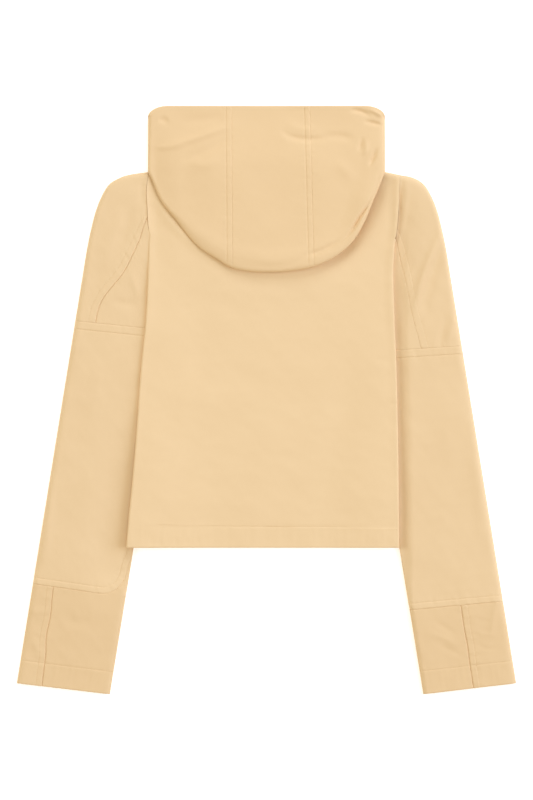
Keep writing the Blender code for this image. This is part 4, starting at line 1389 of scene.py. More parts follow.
@dataclass
class Body:
    """The back panel, the two fronts with their placket, and the folded sides between them.

    Attributes:
        relief: creases of the back.
        hem_y: lower edge.
        middle_top: height of the back over the middle, mm.
        hem_top: height of the back at its hem.
        climb: distance from the middle where the back starts to climb, from the edge where it ends.
        shoulder_z: height of the back at the shoulder seam.
        shoulder_reach: how far the roundness of that seam reaches down.
        neck_lift: height of the mound that the neck seam makes, mm.
        arm_step: how far the back stands above its armhole seam beside it, below zero for lower.
        fold_return: how far the back runs inwards again below its fold.
        tuck_x: how far in the folded sides reach.
        tuck_top: height of their upper layer.
        tuck_y: their upper end.
        tuck_cloth: thickness of each of their layers, mm.
        halves: what differs between its two halves.
    """

    relief: Relief
    hem_y: float = -176.7
    middle_top: float = 8.6
    hem_top: float = 7.6
    climb: Point = (60.0, 12.0)
    shoulder_z: float = 4.4
    shoulder_reach: float = 8.0
    neck_lift: float = 2.2
    arm_step: float = -1.4
    fold_return: float = 14.0
    tuck_x: float = 62.0
    tuck_top: float = 7.8
    tuck_y: float = 150.0
    tuck_cloth: float = 1.3
    halves: dict[Side, BodyHalf] = field(
        default_factory=lambda: {Side.LEFT: BodyHalf(LEFT), Side.RIGHT: BodyHalf(RIGHT)}
    )

    def by_side(self, x: Array, measure: Callable[[BodyHalf], Array]) -> Array:
        """A measure of the left half where x is negative and of the right half elsewhere."""
        return np.where(x < 0, measure(self.halves[Side.LEFT]), measure(self.halves[Side.RIGHT]))

    def height(self, x: Array, y: Array) -> Array:
        """Top of the back without its relief.

        Args:
            x: x, mm.
            y: y, mm.

        Returns:
            Low over the middle, a soft step up to the folded edges, a low mound where the hood is sewn on,
            and a quarter ellipse down at the shoulder.
        """
        left = self.halves[Side.LEFT]
        middle = self.hem_top + (self.middle_top - self.hem_top) * soft_step((y - self.hem_y) / 60.0)
        edge = self.by_side(x, lambda half: half.edge_x(y))
        top = self.by_side(x, lambda half: half.edge_height(y))
        start, stop = self.climb
        height = middle + (top - middle) * soft_step((np.abs(x) - start) / (edge - stop - start))
        plateau = self.arm_step * (1.0 - (top - left.sleeve_top) / 6.2)
        away, room = np.abs(x) - start, edge - np.abs(x)
        height = height + plateau * soft_step(away / 40.0) * soft_step(room / 11.0)
        ring = np.hypot(x / 150.0, (y - left.back_neck_y) / 120.0)
        height = height + self.neck_lift * soft_step((1.36 - ring) / 0.42) * soft_step(room / 40.0)
        upper = self.by_side(x, lambda half: half.back_top_y(x)) - y
        past_neck = soft_step((np.abs(x) - left.neck[0]) / 8.0)
        fall = 1.0 - past_neck * (1.0 - roundover(upper, self.shoulder_reach))
        return self.shoulder_z + (height - self.shoulder_z) * fall

    def stitch_y(self, x: Array) -> Array:
        """y of the hem's stitches, a straight line between its heights at both edges."""
        left, right = self.halves[Side.LEFT].shape, self.halves[Side.RIGHT].shape
        share = (x + left.body_edge[-1][0]) / (left.body_edge[-1][0] + right.body_edge[-1][0])
        return self.hem_y + left.hem_stitch + (right.hem_stitch - left.hem_stitch) * share

    def back_relief(self, x: Array, y: Array) -> Array:
        """Creases, hem, armhole and shoulder seams of the back."""
        above = y - self.hem_y
        slant = HEM_STITCH / (self.stitch_y(x) - self.hem_y)
        evened = above * (slant + (1.0 - slant) * soft_step(above / 40.0))
        hem = hem_relief(np.where(above < 40.0, evened, above), x, HEM_STITCH, 41)
        to_arm = self.by_side(x, lambda half: distance_to(half.armhole[:150], np.abs(x), y))
        to_arm = np.minimum(to_arm, FAR)
        dip = self.by_side(x, lambda half: half.shape.arm_dip)
        arm = SewnEdge(0.0, 42, dip=0.0).height_at(to_arm, y) - dip * (1.0 - roundover(to_arm, 1.5))
        calm = soft_step((self.by_side(x, lambda half: half.back_top_y(x)) - y) / 10.0)
        return self.relief.height_at(x, y) * calm + hem + arm

    def back(self) -> ClothPiece:
        """The back panel with both side edges folded under.

        Returns:
            The piece: a grid whose columns follow both edges, and a rolled fold along each edge.
        """
        left, right = self.halves[Side.LEFT], self.halves[Side.RIGHT]
        fine = ticks(EDGE_STEPS, even(6.0, 23.0, 2.2), HEM_STITCH + STITCH_STEPS)
        above = ticks(fine, even(27.5, 370.0, 2.45), [370.0])
        near_top = [0.925, 0.95, 0.966, 0.98, 0.99, 0.996, 1.0]
        upper_share = np.concatenate([np.linspace(0.0, 0.9, 30)[1:], near_top])
        turn_y, end_y = self.hem_y + above[-1], 270.0
        edge_y = np.concatenate([self.hem_y + above, turn_y + upper_share * (end_y - turn_y)])
        from_edge = np.array([0.0, 0.3, 0.8, 1.5, 2.4, 3.6, 5.2, 7.4, 10.0])
        spans = {}
        for side, half in self.halves.items():
            corner_y = half.shape.armhole[0][1]
            upper_y = turn_y + (edge_y - turn_y) / (end_y - turn_y) * (corner_y - turn_y)
            y = np.where(edge_y <= turn_y, edge_y, upper_y)
            rolled = np.sin(np.minimum(half.wrap(y) * math.pi, math.pi / 2.0))
            gap = SEAM * 3.0 * (1.0 - half.wrap(y))
            spans[side] = half.edge_x(y) - gap - half.fold_radius * rolled
        width = spans[Side.LEFT] + spans[Side.RIGHT]
        x = -spans[Side.LEFT][:, None] + spread(from_edge, from_edge, width, 2.5)
        top = self.by_side(x, lambda half: half.back_top_y(x))
        share = np.clip((edge_y - turn_y) / (end_y - turn_y), 0.0, 1.0)[:, None]
        y = np.minimum(edge_y, turn_y)[:, None] + (top - turn_y) * share
        slanted = self.stitch_y(x) - self.hem_y
        band = np.broadcast_to((y[:, :1] - self.hem_y), y.shape)
        eased = band + (slanted - HEM_STITCH) * (1.0 - soft_step((band - HEM_STITCH) / 60.0))
        warp = np.where(band < HEM_STITCH, band * slanted / HEM_STITCH, eased)
        y = np.where(band < 85.0, self.hem_y + warp, y)
        outer = joined(x, y, self.height(x, y) + self.back_relief(x, y))
        inner = outer - [0.0, 0.0, CLOTH]
        inner[..., 2] += 0.5 * (1.0 - roundover(y - self.hem_y, HEM_ROUND))
        patches = [Patch(outer, inner, joined(x, y))]
        for side, half in self.halves.items():
            last = 0 if side is Side.LEFT else -1
            turned = np.flatnonzero(half.wrap(y[:, last]) > 0.0)
            patches.append(self.fold(outer[: turned[-1] + 1, last], half))

        def surface(a: Array, b: Array) -> Array:
            """The back as its hem stitches press it down."""
            return joined(a, b, self.height(a, b) - STITCH_DEPTH)

        run = np.linspace(-left.shape.body_edge[-1][0] + 2.0, right.shape.body_edge[-1][0] - 2.0, 200)
        lines = [Stitching(surface, run, self.stitch_y(run))]
        below = "side_tuck_left", "side_tuck_right"
        return ClothPiece("back", Slot.BODY, below, patches, Hold.LAID, lines)

    def fold(self, column: Array, half: BodyHalf) -> Patch:
        """The edge turned under: half a turn of the fold's radius, then a straight return towards the middle.

        Args:
            column: the back's edge points from the hem up.
            half: the half that it belongs to.

        Returns:
            The rolled stretch, its first column on the given points.
        """
        radius, arc = half.fold_radius, math.pi * half.fold_radius
        returning = 1.0 + np.array([0.3, 0.7, 1.0]) * self.fold_return / arc
        steps = np.concatenate([np.linspace(0.0, 1.0, 11), returning])
        run = half.wrap(column[:, 1])[:, None] * steps * arc
        turn, back = np.minimum(run, arc) / radius, np.maximum(run - arc, 0.0)
        hem = 1.0 - roundover(column[:, 1:2] - self.hem_y, HEM_ROUND)
        sign, grids = half.shape.side.value, []
        for inset in (0.0, CLOTH):
            r = radius - inset
            shrink = (0.5 if inset else 0.0) * hem
            x = column[:, :1] + sign * ((r + shrink) * np.sin(turn) - back)
            z = column[:, 2:] - radius + (r + shrink) * np.cos(turn)
            grids.append(joined(x, column[:, 1:2], z))
        weave = joined(column[:, :1] + sign * run, column[:, 1:2])
        order = slice(None, None, sign)
        return Patch(grids[0][:, order], grids[1][:, order], weave[:, order])

    def front(self, side: Side) -> ClothPiece:
        """One front, flat on the surface, from placket to sleeve and from hem to neck and shoulder.

        Args:
            side: which half.

        Returns:
            The piece. Its lower face is level but for a rounded edge at each seam.
        """
        half = self.halves[side]
        low_y = np.concatenate([self.hem_y + ticks(FLAT_STEPS, even(2.0, 316.0, 4.5)), [140.0]])
        low = joined(x_at(half.inner_edge, low_y) - 3.0, low_y)
        arm = along(half.armhole, np.linspace(1.0, 0.0, 42))
        arm = arm + np.array([-0.9, 0.3]) * np.linspace(2.5, 1.0, len(arm))[:, None]
        edge = np.concatenate([low, arm])
        start, neck, stop = half.placket + SEAM, half.neck[0], edge[-1, 0]
        low_side, high_side = start + FLAT_STEPS, stop - FLAT_STEPS[::-1]
        inside = [even(low_side[-1], neck, 4.0), [neck], even(neck, high_side[0], 4.0)]
        columns = np.concatenate([low_side, *inside, high_side])
        share = (columns - start) / (columns[-1] - start)
        x = start + (edge[:, :1] - start) * share
        underarm = arm[0, 1]
        rise = np.clip((edge[:, 1:] - underarm) / (edge[-1, 1] - underarm), 0.0, 1.0)
        top = half.front_top_y(columns) - 0.3
        y = np.where(rise > 0.0, underarm + (top - underarm) * rise, edge[:, 1:])
        y[:, -1] = edge[:, 1]
        gap = np.minimum(x - start, y - self.hem_y)
        bevel = 0.5 * (1.0 - roundover(gap, UNDER_ROUND))
        outer = joined(x, y, bevel) * [side.value, 1.0, 1.0]
        inner = joined(x, y, CLOTH - 0.5 * bevel) * [side.value, 1.0, 1.0]

        def surface(a: Array, b: Array) -> Array:
            """Underside of the front."""
            return joined(a * side.value, b, 0.0)

        run = np.linspace(start + 2.0, edge[0, 0] - 3.0, 60)
        hem = Stitching(surface, run, np.full(60, self.hem_y + HEM_STITCH), -STITCH_DEPTH, True)
        patches = [Patch(outer, inner, outer[..., :2].copy())]
        return ClothPiece(f"front_{side.word}", Slot.BODY, (), patches, Hold.LAID, [hem])

    def placket(self) -> ClothPiece:
        """The straight strip between the two fronts, with a stitched groove along both of its sides.

        Returns:
            The piece. Its lower face is level but for its rounded rim and a bell at each groove.
        """
        half = self.halves[Side.LEFT]
        wide, top_y, inset = half.placket, half.front_neck_y - 0.3, 4.0
        side = ticks(FLAT_STEPS, inset + STITCH_STEPS, [7.0, 12.0])
        columns = np.concatenate([side - wide, [0.0], wide - side[::-1]])
        high = top_y - self.hem_y
        rows = self.hem_y + ticks(FLAT_STEPS, even(2.0, high, 5.0), [high])
        x, y = np.meshgrid(columns, rows)
        from_side = wide - np.abs(x)
        rim = 1.0 - roundover(np.minimum(from_side, y - self.hem_y), UNDER_ROUND)
        outer = joined(x, y, 0.5 * rim + 0.45 * bell(from_side - inset, 0.7))
        patches = [Patch(outer, joined(x, y, CLOTH), outer[..., :2].copy())]

        def surface(a: Array, b: Array) -> Array:
            """Underside of the placket."""
            return joined(a, b, 0.45)

        run = np.linspace(self.hem_y + 3.0, top_y - 3.0, 120)
        sides = (inset - wide, wide - inset)
        lines = [Stitching(surface, np.full(120, x), run, 0.05, True) for x in sides]
        return ClothPiece("front_placket", Slot.BODY, (), patches, Hold.LAID, lines)

    def tuck(self, side: Side) -> ClothPiece:
        """The body's side folded in between front and back: two layers and a round fold at their inner end.

        Args:
            side: which half.

        Returns:
            The piece. Its outline runs in along the lower layer, round half a turn, and out along the upper.
        """
        half = self.halves[side]
        low, high, floor = self.hem_y + 2.0, self.tuck_y, CLOTH + 0.35
        y = np.concatenate([[low], even(low, high, 6.0), [high]])[:, None]
        limit = np.minimum(x_at(half.inner_edge, y) - 3.0, half.edge_x(y) - half.fold_radius - 0.4)
        lay = np.linspace(1.0, 0.0, 16) ** 1.2
        turn = np.linspace(0.0, math.pi, 8)[1:-1]
        grids = []
        for inset in (0.0, self.tuck_cloth):
            ceiling = np.minimum(self.height(side.value * self.tuck_x, y) - CLOTH - 0.7, self.tuck_top)
            radius = (ceiling - floor) / 2.0
            centre = self.tuck_x + radius
            flat = centre + lay * (limit - centre)
            ceilings = np.minimum(self.height(side.value * flat, y) - CLOTH - 0.7, self.tuck_top)
            under = joined(flat, y, floor + inset)
            bend_x = centre - (radius - inset) * np.sin(turn)
            bend_z = floor + radius - (radius - inset) * np.cos(turn)
            bend = joined(bend_x, y, bend_z)
            over = joined(flat, y, ceilings - inset)[:, ::-1]
            grids.append(np.concatenate([under, bend, over], axis=1) * [side.value, 1.0, 1.0])
        columns = np.linspace(0.0, 188.0, grids[0].shape[1])
        patches = [Patch(*grids, joined(columns, y))]
        return ClothPiece(f"side_tuck_{side.word}", Slot.BODY, (f"front_{side.word}",), patches, Hold.FOLDED)

    def pieces(self) -> list[ClothPiece]:
        """The body's six pieces."""
        sides = [make(side) for side in Side for make in (self.front, self.tuck)]
        return [self.back(), self.placket(), *sides]


# --- hood
@dataclass(frozen=True)
class HoodPanel:
    """One of the hood's three panels.

    Attributes:
        name: its CAD node.
        foot: x range along the lower edge, mm.
        head: x range along the opening edge.
        stitch: distance of the topstitching from its right-hand seam, or 0 for none.
    """

    name: str
    foot: Point
    head: Point
    stitch: float


@dataclass
class Hood:
    """The thrown-back hood: three panels above, inner layers below, and sides that run to the front neck.

    Attributes:
        body: what it lies on.
        relief: its creases.
        top_y: its opening edge.
        half_width: distance of its side folds from the middle line.
        corner: width and height of its rounded upper corners.
        layer_gap: air below it.
        under_cloth: thickness of the hidden inner layers.
        bulge: places across and the extra height along the lower edge there.
        bulge_reach: over what width it stands.
        lift: the same for how far the folded edge is raised off the back.
        edge_reach: the same for how far the roundness of its edges reaches in.
        side_z: height of its side folds above the shoulders.
        mouth_top: height of the opening edge at the middle and at the sides.
        drop: from what y it falls to the surface, over what.
        panels: its three panels.
    """

    body: Body
    relief: Relief
    top_y: float = 352.5
    half_width: float = 142.0
    corner: Point = (24.0, 14.0)
    layer_gap: float = 0.9
    under_cloth: float = 2.8
    bulge: tuple[Knots, Knots] = ((-135.0, -85.0, 0.0, 110.0, 138.0), (-1.8, -0.4, 2.4, 3.8, 1.4))
    bulge_reach: float = 30.0
    lift: tuple[Knots, Knots] = ((-135.0, -85.0, 0.0, 110.0, 138.0), (-1.6, -0.8, -1.0, 2.4, -1.2))
    edge_reach: tuple[Knots, Knots] = ((-115.0, -85.0, -50.0, 30.0, 110.0), (3.8, 11.5, 16.0, 16.0, 8.0))
    side_z: float = 4.8
    mouth_top: Point = (11.0, 12.4)
    drop: Point = (278.0, 68.0)
    panels: tuple[HoodPanel, ...] = (
        HoodPanel("hood_left", (-142.0, -40.5), (-142.0, -42.0), 6.6),
        HoodPanel("hood_centre", (-40.5, 57.0), (-42.0, 51.5), 6.2),
        HoodPanel("hood_right", (57.0, 142.0), (51.5, 142.0), 0.0),
    )

    def __post_init__(self) -> None:
        """Works out the folded outline: up the left side, round the lower edge, up the right side."""
        self.lower = smooth_curve(HOOD_LOWER_EDGE, 240)
        side_top = self.top_y - self.corner[1]
        rise = np.linspace(side_top, self.lower[0, 1], 20, endpoint=False)
        left = joined(np.full(20, -self.half_width), rise)
        right = joined(np.full(20, self.half_width), rise[::-1])
        self.outline = np.concatenate([left, self.lower, right])

    def shrunk(self, curve: Array, inset: float) -> Array:
        """A curve moved towards the inside of the hood."""
        run = np.gradient(curve, axis=0)
        run /= np.hypot(*run.T)[:, None]
        return curve + inset * joined(-run[:, 1], run[:, 0])

    def head_y(self, x: Array) -> Array:
        """The opening edge: straight, with a quarter of an ellipse at each corner."""
        wide, high = self.corner
        at = np.clip((np.abs(x) - self.half_width + wide) / wide, 0.0, 1.0)
        return self.top_y - high * (1.0 - np.sqrt(1.0 - at**2))

    def neck_y(self, x: Array) -> Array:
        """Upper edge of the back below the hood."""
        return self.body.by_side(x, lambda half: half.back_top_y(x))

    def base(self, x: Array, y: Array) -> Array:
        """Height of what the hood lies on."""
        limit = self.neck_y(x) - self.body.shoulder_reach
        return self.body.height(x, np.minimum(y, limit)) + self.layer_gap

    def heights(self, x: Array, y: Array, edge: Array) -> tuple[Array, Array]:
        """Height of the hood away from its rounding, and the height at which its edge folds.

        Args:
            x: x, mm.
            y: y, mm.
            edge: distance from the folded outline, mm.

        Returns:
            Both heights: on the body the layers add up and bulge along the lower edge, and past the neck a
            soft step brings them down to the opening's height.
        """
        past = soft_step((y - self.drop[0]) / self.drop[1])
        base = self.base(x, y)
        rise = np.interp(x, *self.bulge)
        swell = rise * (1.0 - soft_step(edge / self.bulge_reach))
        low, high = self.mouth_top
        mouth = low + (high - low) * soft_step((np.abs(x) - 22.0) / 60.0)
        stack = self.under_cloth + 0.8 + CLOTH
        top = (1.0 - past) * (base + stack + swell) + past * mouth
        fold = (1.0 - past) * (base + (stack + rise) / 2.0 + np.interp(x, *self.lift)) + past * self.side_z
        return top, fold

    def face(self, x: Array, y: Array, inset: float, extra: Array | float) -> Array:
        """Points of the panels' outer or inner face.

        Args:
            x: x, mm.
            y: y, mm.
            inset: distance below the outside, mm.
            extra: seam relief, mm.

        Returns:
            Points in mm: a quarter ellipse from the folded outline up to the top, plus relief.
        """
        edge = distance_to(self.shrunk(self.outline, inset), x, y)
        top, fold = self.heights(x, y, edge)
        rise = roundover(edge, np.interp(x, *self.edge_reach) - inset)
        relief = self.relief.height_at(x, y) * soft_step(edge / 6.0)
        relief = relief * soft_step((self.head_y(x) - y) / 5.0)
        z = fold + SEAM / 2.0 + (top + extra + relief - inset - fold - SEAM / 2.0) * rise
        return joined(x, y, z)

    def stitch_face(self, x: Array, y: Array) -> Array:
        """The face as a line of stitches presses it down."""
        return self.face(x, y, 0.0, -STITCH_DEPTH)

    def panel(self, panel: HoodPanel) -> ClothPiece:
        """One panel: upright columns from the lower edge up to the opening edge.

        Args:
            panel: its sizes.

        Returns:
            The piece, with fine lines at its seams, its stitches, the folded edge and the opening.
        """
        seams = [abs(end) < self.half_width for end in panel.foot]
        width = panel.foot[1] - panel.foot[0]
        side_steps = np.array([0.0, 0.12, 0.4, 0.9, 1.6, 2.5, 3.7, 5.2, 7.0, 9.2, 11.6])
        seam_steps = ticks(EDGE_STEPS, [6.4, 8.4])
        stitch_steps = ticks(EDGE_STEPS, panel.stitch + STITCH_STEPS, [9.4])
        low = seam_steps if seams[0] else side_steps
        high = stitch_steps if seams[1] else side_steps
        share = spread(low, high, [width], 1.75)[0] / width
        head_width = panel.head[1] - panel.head[0]
        rows_low = np.array([0.0, 0.1, 0.35, 0.8, 1.5, 2.4, 3.6, 5.0, 6.8, 9.0])
        rows_high = np.array([0.0, 0.15, 0.4, 0.8, 1.4, 2.4, 3.8])
        grids, down, weave = [], None, None
        for inset in (0.0, CLOTH):
            lower = self.shrunk(self.lower, inset)
            left, right = (SEAM / 2.0 if sewn else inset for sewn in seams)
            ends = [(a + left, b - right) for a, b in (panel.foot, panel.head)]
            foot_x, head_x = (a + share * (b - a) for a, b in ends)
            order = np.argsort(lower[:, 0])
            foot_y = np.interp(foot_x, lower[order, 0], lower[order, 1])
            head_y = self.head_y(head_x)
            if down is None:
                down = (spread(rows_low, rows_high, head_y - foot_y, 1.9) / (head_y - foot_y)[:, None]).T
            x = foot_x + (head_x - foot_x) * down
            y = foot_y + (head_y - foot_y) * down
            weave = joined(x, y) if weave is None else weave
            to_right = (1.0 - share) * head_width
            extra = np.zeros(x.shape)
            if seams[0]:
                from_left = np.broadcast_to(share * head_width, x.shape)
                extra += SewnEdge(0.0, 51, dip=0.3).height_at(from_left, y)
            if seams[1]:
                edge = SewnEdge(panel.stitch, 52, dip=0.3, swell=0.16, dent=0.3)
                extra += edge.height_at(np.broadcast_to(to_right, x.shape), y)
            rim = 0.75 * (1.0 - roundover(self.head_y(x) - y, 1.3))
            extra += (rim if inset else -rim)
            grids.append(self.face(x, y, inset, extra))
        lines = []
        if panel.stitch:
            rise = np.linspace(0.025, 0.985, 90)
            foot_x, head_x = panel.foot[1] - panel.stitch, panel.head[1] - panel.stitch
            foot_y = np.interp(foot_x, self.lower[:, 0], self.lower[:, 1])
            line_x = foot_x + (head_x - foot_x) * rise
            lines = [Stitching(self.stitch_face, line_x, foot_y + (self.top_y - foot_y) * rise)]
        patches = [Patch(*grids, weave)]
        return ClothPiece(panel.name, Slot.HOOD, ("hood_return",), patches, Hold.LAID, lines)

    def inner_layers(self) -> ClothPiece:
        """The hidden inner layers: a shallow dish on the back whose rim meets the panels' fold.

        Returns:
            The piece.
        """
        shares = np.concatenate([[0.03, 0.06], np.linspace(0.1, 0.9, 60), [0.94, 0.97]])
        rise = np.array([0.0, 0.003, 0.01, 0.02, 0.04, 0.07, 0.12, 0.2, 0.4, 0.6, 0.8, 1.0])[:, None]
        grids = []
        for inset in (0.0, CLOTH):
            foot = along(self.shrunk(self.lower, inset), shares)
            x = np.broadcast_to(foot[:, 0], (len(rise), len(shares)))
            head = self.neck_y(foot[:, 0]) - 12.0
            y = foot[:, 1] + (head - foot[:, 1]) * rise
            edge = distance_to(self.shrunk(self.lower, inset), x, y)
            edge[0] = 0.0
            _, fold = self.heights(x, y, edge)
            level = self.base(x, y) + (self.under_cloth if inset else 0.0)
            z = fold - 0.3 + (level - fold + 0.3) * roundover(edge, 8.0 - inset)
            grids.append(joined(x, y, z))
        patches = [Patch(*grids, grids[0][..., :2].copy())]
        return ClothPiece("hood_return", Slot.HOOD, ("back",), patches, Hold.FOLDED)

    def front(self, side: Side) -> ClothPiece:
        """The hood's side where it runs round to the front neck, under the panels and beside the front.

        Args:
            side: which half.

        Returns:
            The piece: lines from the opening edge out to the side fold and down to the neckline.
        """
        half = self.body.halves[side]
        wide, high = self.corner
        bend = np.linspace(0.15, 1.0, 8) * math.pi / 2.0
        centre = np.array([self.half_width - wide, self.top_y - high])
        corner = centre + joined(np.sin(bend), np.cos(bend)) * [wide, high]
        shoulder_y = float(half.shoulder_y(np.array(self.half_width))) + 2.5
        down = corner[-1] + ([self.half_width, shoulder_y] - corner[-1]) * np.linspace(0.0, 1.0, 9)[1:, None]
        inwards = 45.6 * np.linspace(0.0, 1.0, 10)[1:] ** 1.3
        neck_x = np.concatenate([[115.0, 103.0, half.neck[0]], half.neck[0] - inwards])
        neck = joined(neck_x - 0.6 * (neck_x <= half.neck[0]), half.front_top_y(neck_x) + 0.6)
        outside = np.concatenate([corner, down, neck])
        start = np.array([self.half_width - wide - 2.0, self.top_y])
        stop = np.array([neck_x[-1] - 6.0, neck[-1, 1]])
        coarse = np.array([0.0, 0.03, 0.07, 0.2, 0.28, 0.33, 0.38, 0.47, 0.62, 0.74, 0.87, 1.0])
        share = np.interp(np.linspace(0.0, 1.0, len(outside)), np.linspace(0.0, 1.0, len(coarse)), coarse)
        opening = start + (stop - start) * share[:, None]
        across = 1.0 - np.linspace(1.0, 0.0, 16) ** 1.8
        fold_line = np.concatenate([corner, down])
        fold_line[0] = [self.half_width - wide, self.top_y]
        grids = []
        for inset in (0.0, CLOTH):
            rim = outside.copy()
            rim[:, 0] = np.minimum(rim[:, 0], self.half_width - inset)
            point = opening[:, None] + (rim - opening)[:, None] * across[:, None]
            x, y = point[..., 0], point[..., 1]
            edge = np.clip(distance_to(fold_line, x, y) - inset, 0.0, None)
            _, fold = self.heights(side.value * x, y, edge)
            z = fold - 0.5 + (inset - fold + 0.5) * roundover(edge, 8.0 - inset)
            grids.append(joined(x * side.value, y, z))
        patches = [Patch(*grids, grids[0][..., :2].copy())]
        return ClothPiece(f"hood_front_{side.word}", Slot.HOOD, (), patches, Hold.FOLDED)

    def pieces(self) -> list[ClothPiece]:
        """The hood's six pieces."""
        return [*(self.panel(p) for p in self.panels), self.inner_layers(), *(self.front(s) for s in Side)]


# --- creases read off the photograph
BACK_CREASES = (
    Crease(((190, 435), (170, 478), (150, 520)), 9.0, 0.6),
    Crease(((372, 361), (395, 361)), 4.0, -0.3),
    Crease(((163, 300), (158, 380), (160, 450)), 16.0, -0.5),
    Crease(((190, 300), (186, 380), (184, 470)), 11.0, 0.4),
    Crease(((250, 300), (280, 296), (320, 300)), 14.0, -0.4),
    Crease(((146.5, 158), (145.2, 178), (145.6, 198), (147.2, 216), (149.0, 244)), 2.4, 1.5),
    Crease(((398, 160), (396.5, 186), (395.5, 210), (394, 250)), 3.0, 0.6),
    Crease(((151, 547), (153, 534)), 2.4, -0.5),
    Crease(((159, 547), (160, 536)), 2.2, -0.4),
    Crease(((175, 547), (178, 536)), 2.6, -0.4),
    Crease(((186, 547), (188, 537)), 2.2, -0.4),
    Crease(((197, 547), (200, 536)), 2.6, -0.4),
    Crease(((388, 404), (398, 404)), 2.4, -0.4),
    Crease(((382, 156), (378, 182), (372, 200), (361, 220), (345, 246)), 11.0, -2.6),
    Crease(((146, 180), (158, 204), (175, 226), (196, 246), (226, 264)), 6.0, 1.3),
    Crease(((384, 150), (372, 190), (356, 222), (330, 252), (290, 272)), 25.0, -4.2),
    Crease(((215, 272), (245, 282), (290, 283), (330, 270)), 11.0, -0.9),
    Crease(((388, 240), (389, 290), (391, 350)), 5.0, 0.4),
    Crease(((156, 240), (153, 300), (150, 360)), 5.0, 0.4),
)
LEFT_SLEEVE_CREASES = (
    Crease(((143, 176), (142.0, 190), (141, 206)), 3.0, -0.7),
    Crease(((52, 465), (49, 520), (43, 575)), 6.0, 1.3),
    Crease(((124, 205), (112, 240), (98, 275)), 9.0, 1.1),
    Crease(((136, 196), (124, 232), (112, 262)), 7.0, -1.0),
    Crease(((108, 262), (96, 285), (88, 312)), 8.0, -0.8),
    Crease(((128, 268), (135, 285), (140, 305)), 5.0, 0.8),
    Crease(((110, 300), (124, 304), (140, 303)), 5.0, -0.8),
    Crease(((100, 350), (95, 400), (84, 450)), 12.0, 0.7),
    Crease(((70, 350), (66, 400)), 9.0, -0.6),
    Crease(((24, 605), (40, 612), (52, 606)), 5.0, 0.7),
    Crease(((60, 612), (76, 622), (92, 616)), 7.0, -0.6),
    Crease(((30, 636), (38, 650), (40, 662)), 5.0, 0.7),
)
RIGHT_SLEEVE_CREASES = (
    Crease(((402, 164), (401, 188), (399.5, 208), (398, 226), (395, 250)), 2.8, -1.6),
    Crease(((408, 170), (407, 190), (405, 212), (401, 236)), 2.6, 0.7),
    Crease(((446, 210), (439, 236), (430, 258), (421.5, 280), (416, 304), (416, 330)), 5.0, 2.2),
    Crease(((403, 176), (399, 206), (396, 244), (394, 280), (396, 310)), 17.0, -4.8),
    Crease(((449, 218), (445, 234), (438, 257), (431, 280), (426, 304), (426, 326)), 6.0, -1.2),
    Crease(((426, 182), (432, 194), (434, 212)), 5.0, 0.8),
    Crease(((402, 284), (404, 306), (403, 330)), 6.0, -1.2),
    Crease(((458, 308), (451, 330), (446, 352)), 4.4, 1.0),
    Crease(((447, 312), (442, 332), (438, 352)), 4.0, -0.8),
    Crease(((472, 440), (479, 495), (483, 550)), 8.0, 0.9),
    Crease(((430, 618), (446, 628), (462, 636)), 3.4, -0.45),
    Crease(((424, 632), (444, 638), (463, 648)), 4.0, 0.55),
    Crease(((434, 642), (450, 650), (468, 658)), 3.4, -0.45),
    Crease(((470, 616), (484, 621), (498, 620)), 2.6, -0.32),
    Crease(((471, 629), (484, 634), (498, 634)), 2.6, 0.35),
    Crease(((473, 643), (486, 648), (500, 648)), 2.6, -0.32),
    Crease(((498, 584), (494, 612), (488, 646)), 3.8, 0.7),
    Crease(((440, 370), (446, 430), (450, 490)), 12.0, 0.7),
    Crease(((462, 365), (468, 400), (470, 440)), 7.0, -0.7),
)
HOOD_CREASES = (
    Crease(((156, 148), (180, 143.5), (203, 136.5), (227, 127), (240, 120)), 4.2, 1.9),
    Crease(((176, 164), (202, 154), (218, 146), (236, 132)), 5.6, -1.3),
    Crease(((148, 148), (167, 148), (190, 145)), 3.6, 1.0),
    Crease(((176, 122), (200, 121), (230, 116)), 6.0, -1.0),
    Crease(((186, 162), (205, 166), (222, 160)), 6.0, 0.7),
    Crease(((348, 111), (360, 112), (372, 118)), 2.6, -2.2),
    Crease(((362, 122), (374, 124), (385, 127)), 2.4, -2.0),
    Crease(((366, 108), (377, 114), (386, 120)), 2.4, 1.7),
    Crease(((318, 138), (338, 137), (358, 140)), 4.4, -1.3),
    Crease(((279, 128), (288, 136), (304, 140), (322, 139), (332, 137)), 3.2, -1.8),
    Crease(((282, 122), (300, 130), (324, 131)), 5.0, 0.8),
    Crease(((362, 137), (361, 145), (358, 153)), 2.2, -1.7),
    Crease(((366, 140), (366, 150), (362, 158)), 2.4, 1.2),
    Crease(((377, 146), (373, 158), (368, 169)), 2.6, -2.5),
    Crease(((234, 260), (258, 266), (282, 267), (304, 259), (324, 251)), 4.6, -0.8),
    Crease(((298, 258), (322, 251), (346, 238)), 3.0, -1.9),
    Crease(((158, 118), (164, 121), (170, 120)), 4.0, -1.3),
    Crease(((155, 185), (180, 215), (215, 243), (265, 256), (320, 246), (352, 215), (368, 185)), 9.0, 0.9),
    Crease(((380, 166), (377, 186), (370.7, 202), (360, 217.5), (351, 232), (336, 247)), 1.8, -3.4),
    Crease(((330, 160), (344, 170), (356, 186)), 7.0, 0.9),
)


# --- studio
@dataclass(frozen=True)
class Lamp:
    """A soft light.

    Attributes:
        name: its name.
        towards: direction from the garment to it.
        size: its side, m.
        share: its part of the light on a level surface, where 1 in all shows a colour as it is.
        colour: its colour. The one that leads is the coolest, so that what faces away from it stays warm.
    """

    name: str
    towards: tuple[float, float, float]
    size: float
    share: float
    colour: tuple[float, float, float] = (0.88, 1.02, 1.26)


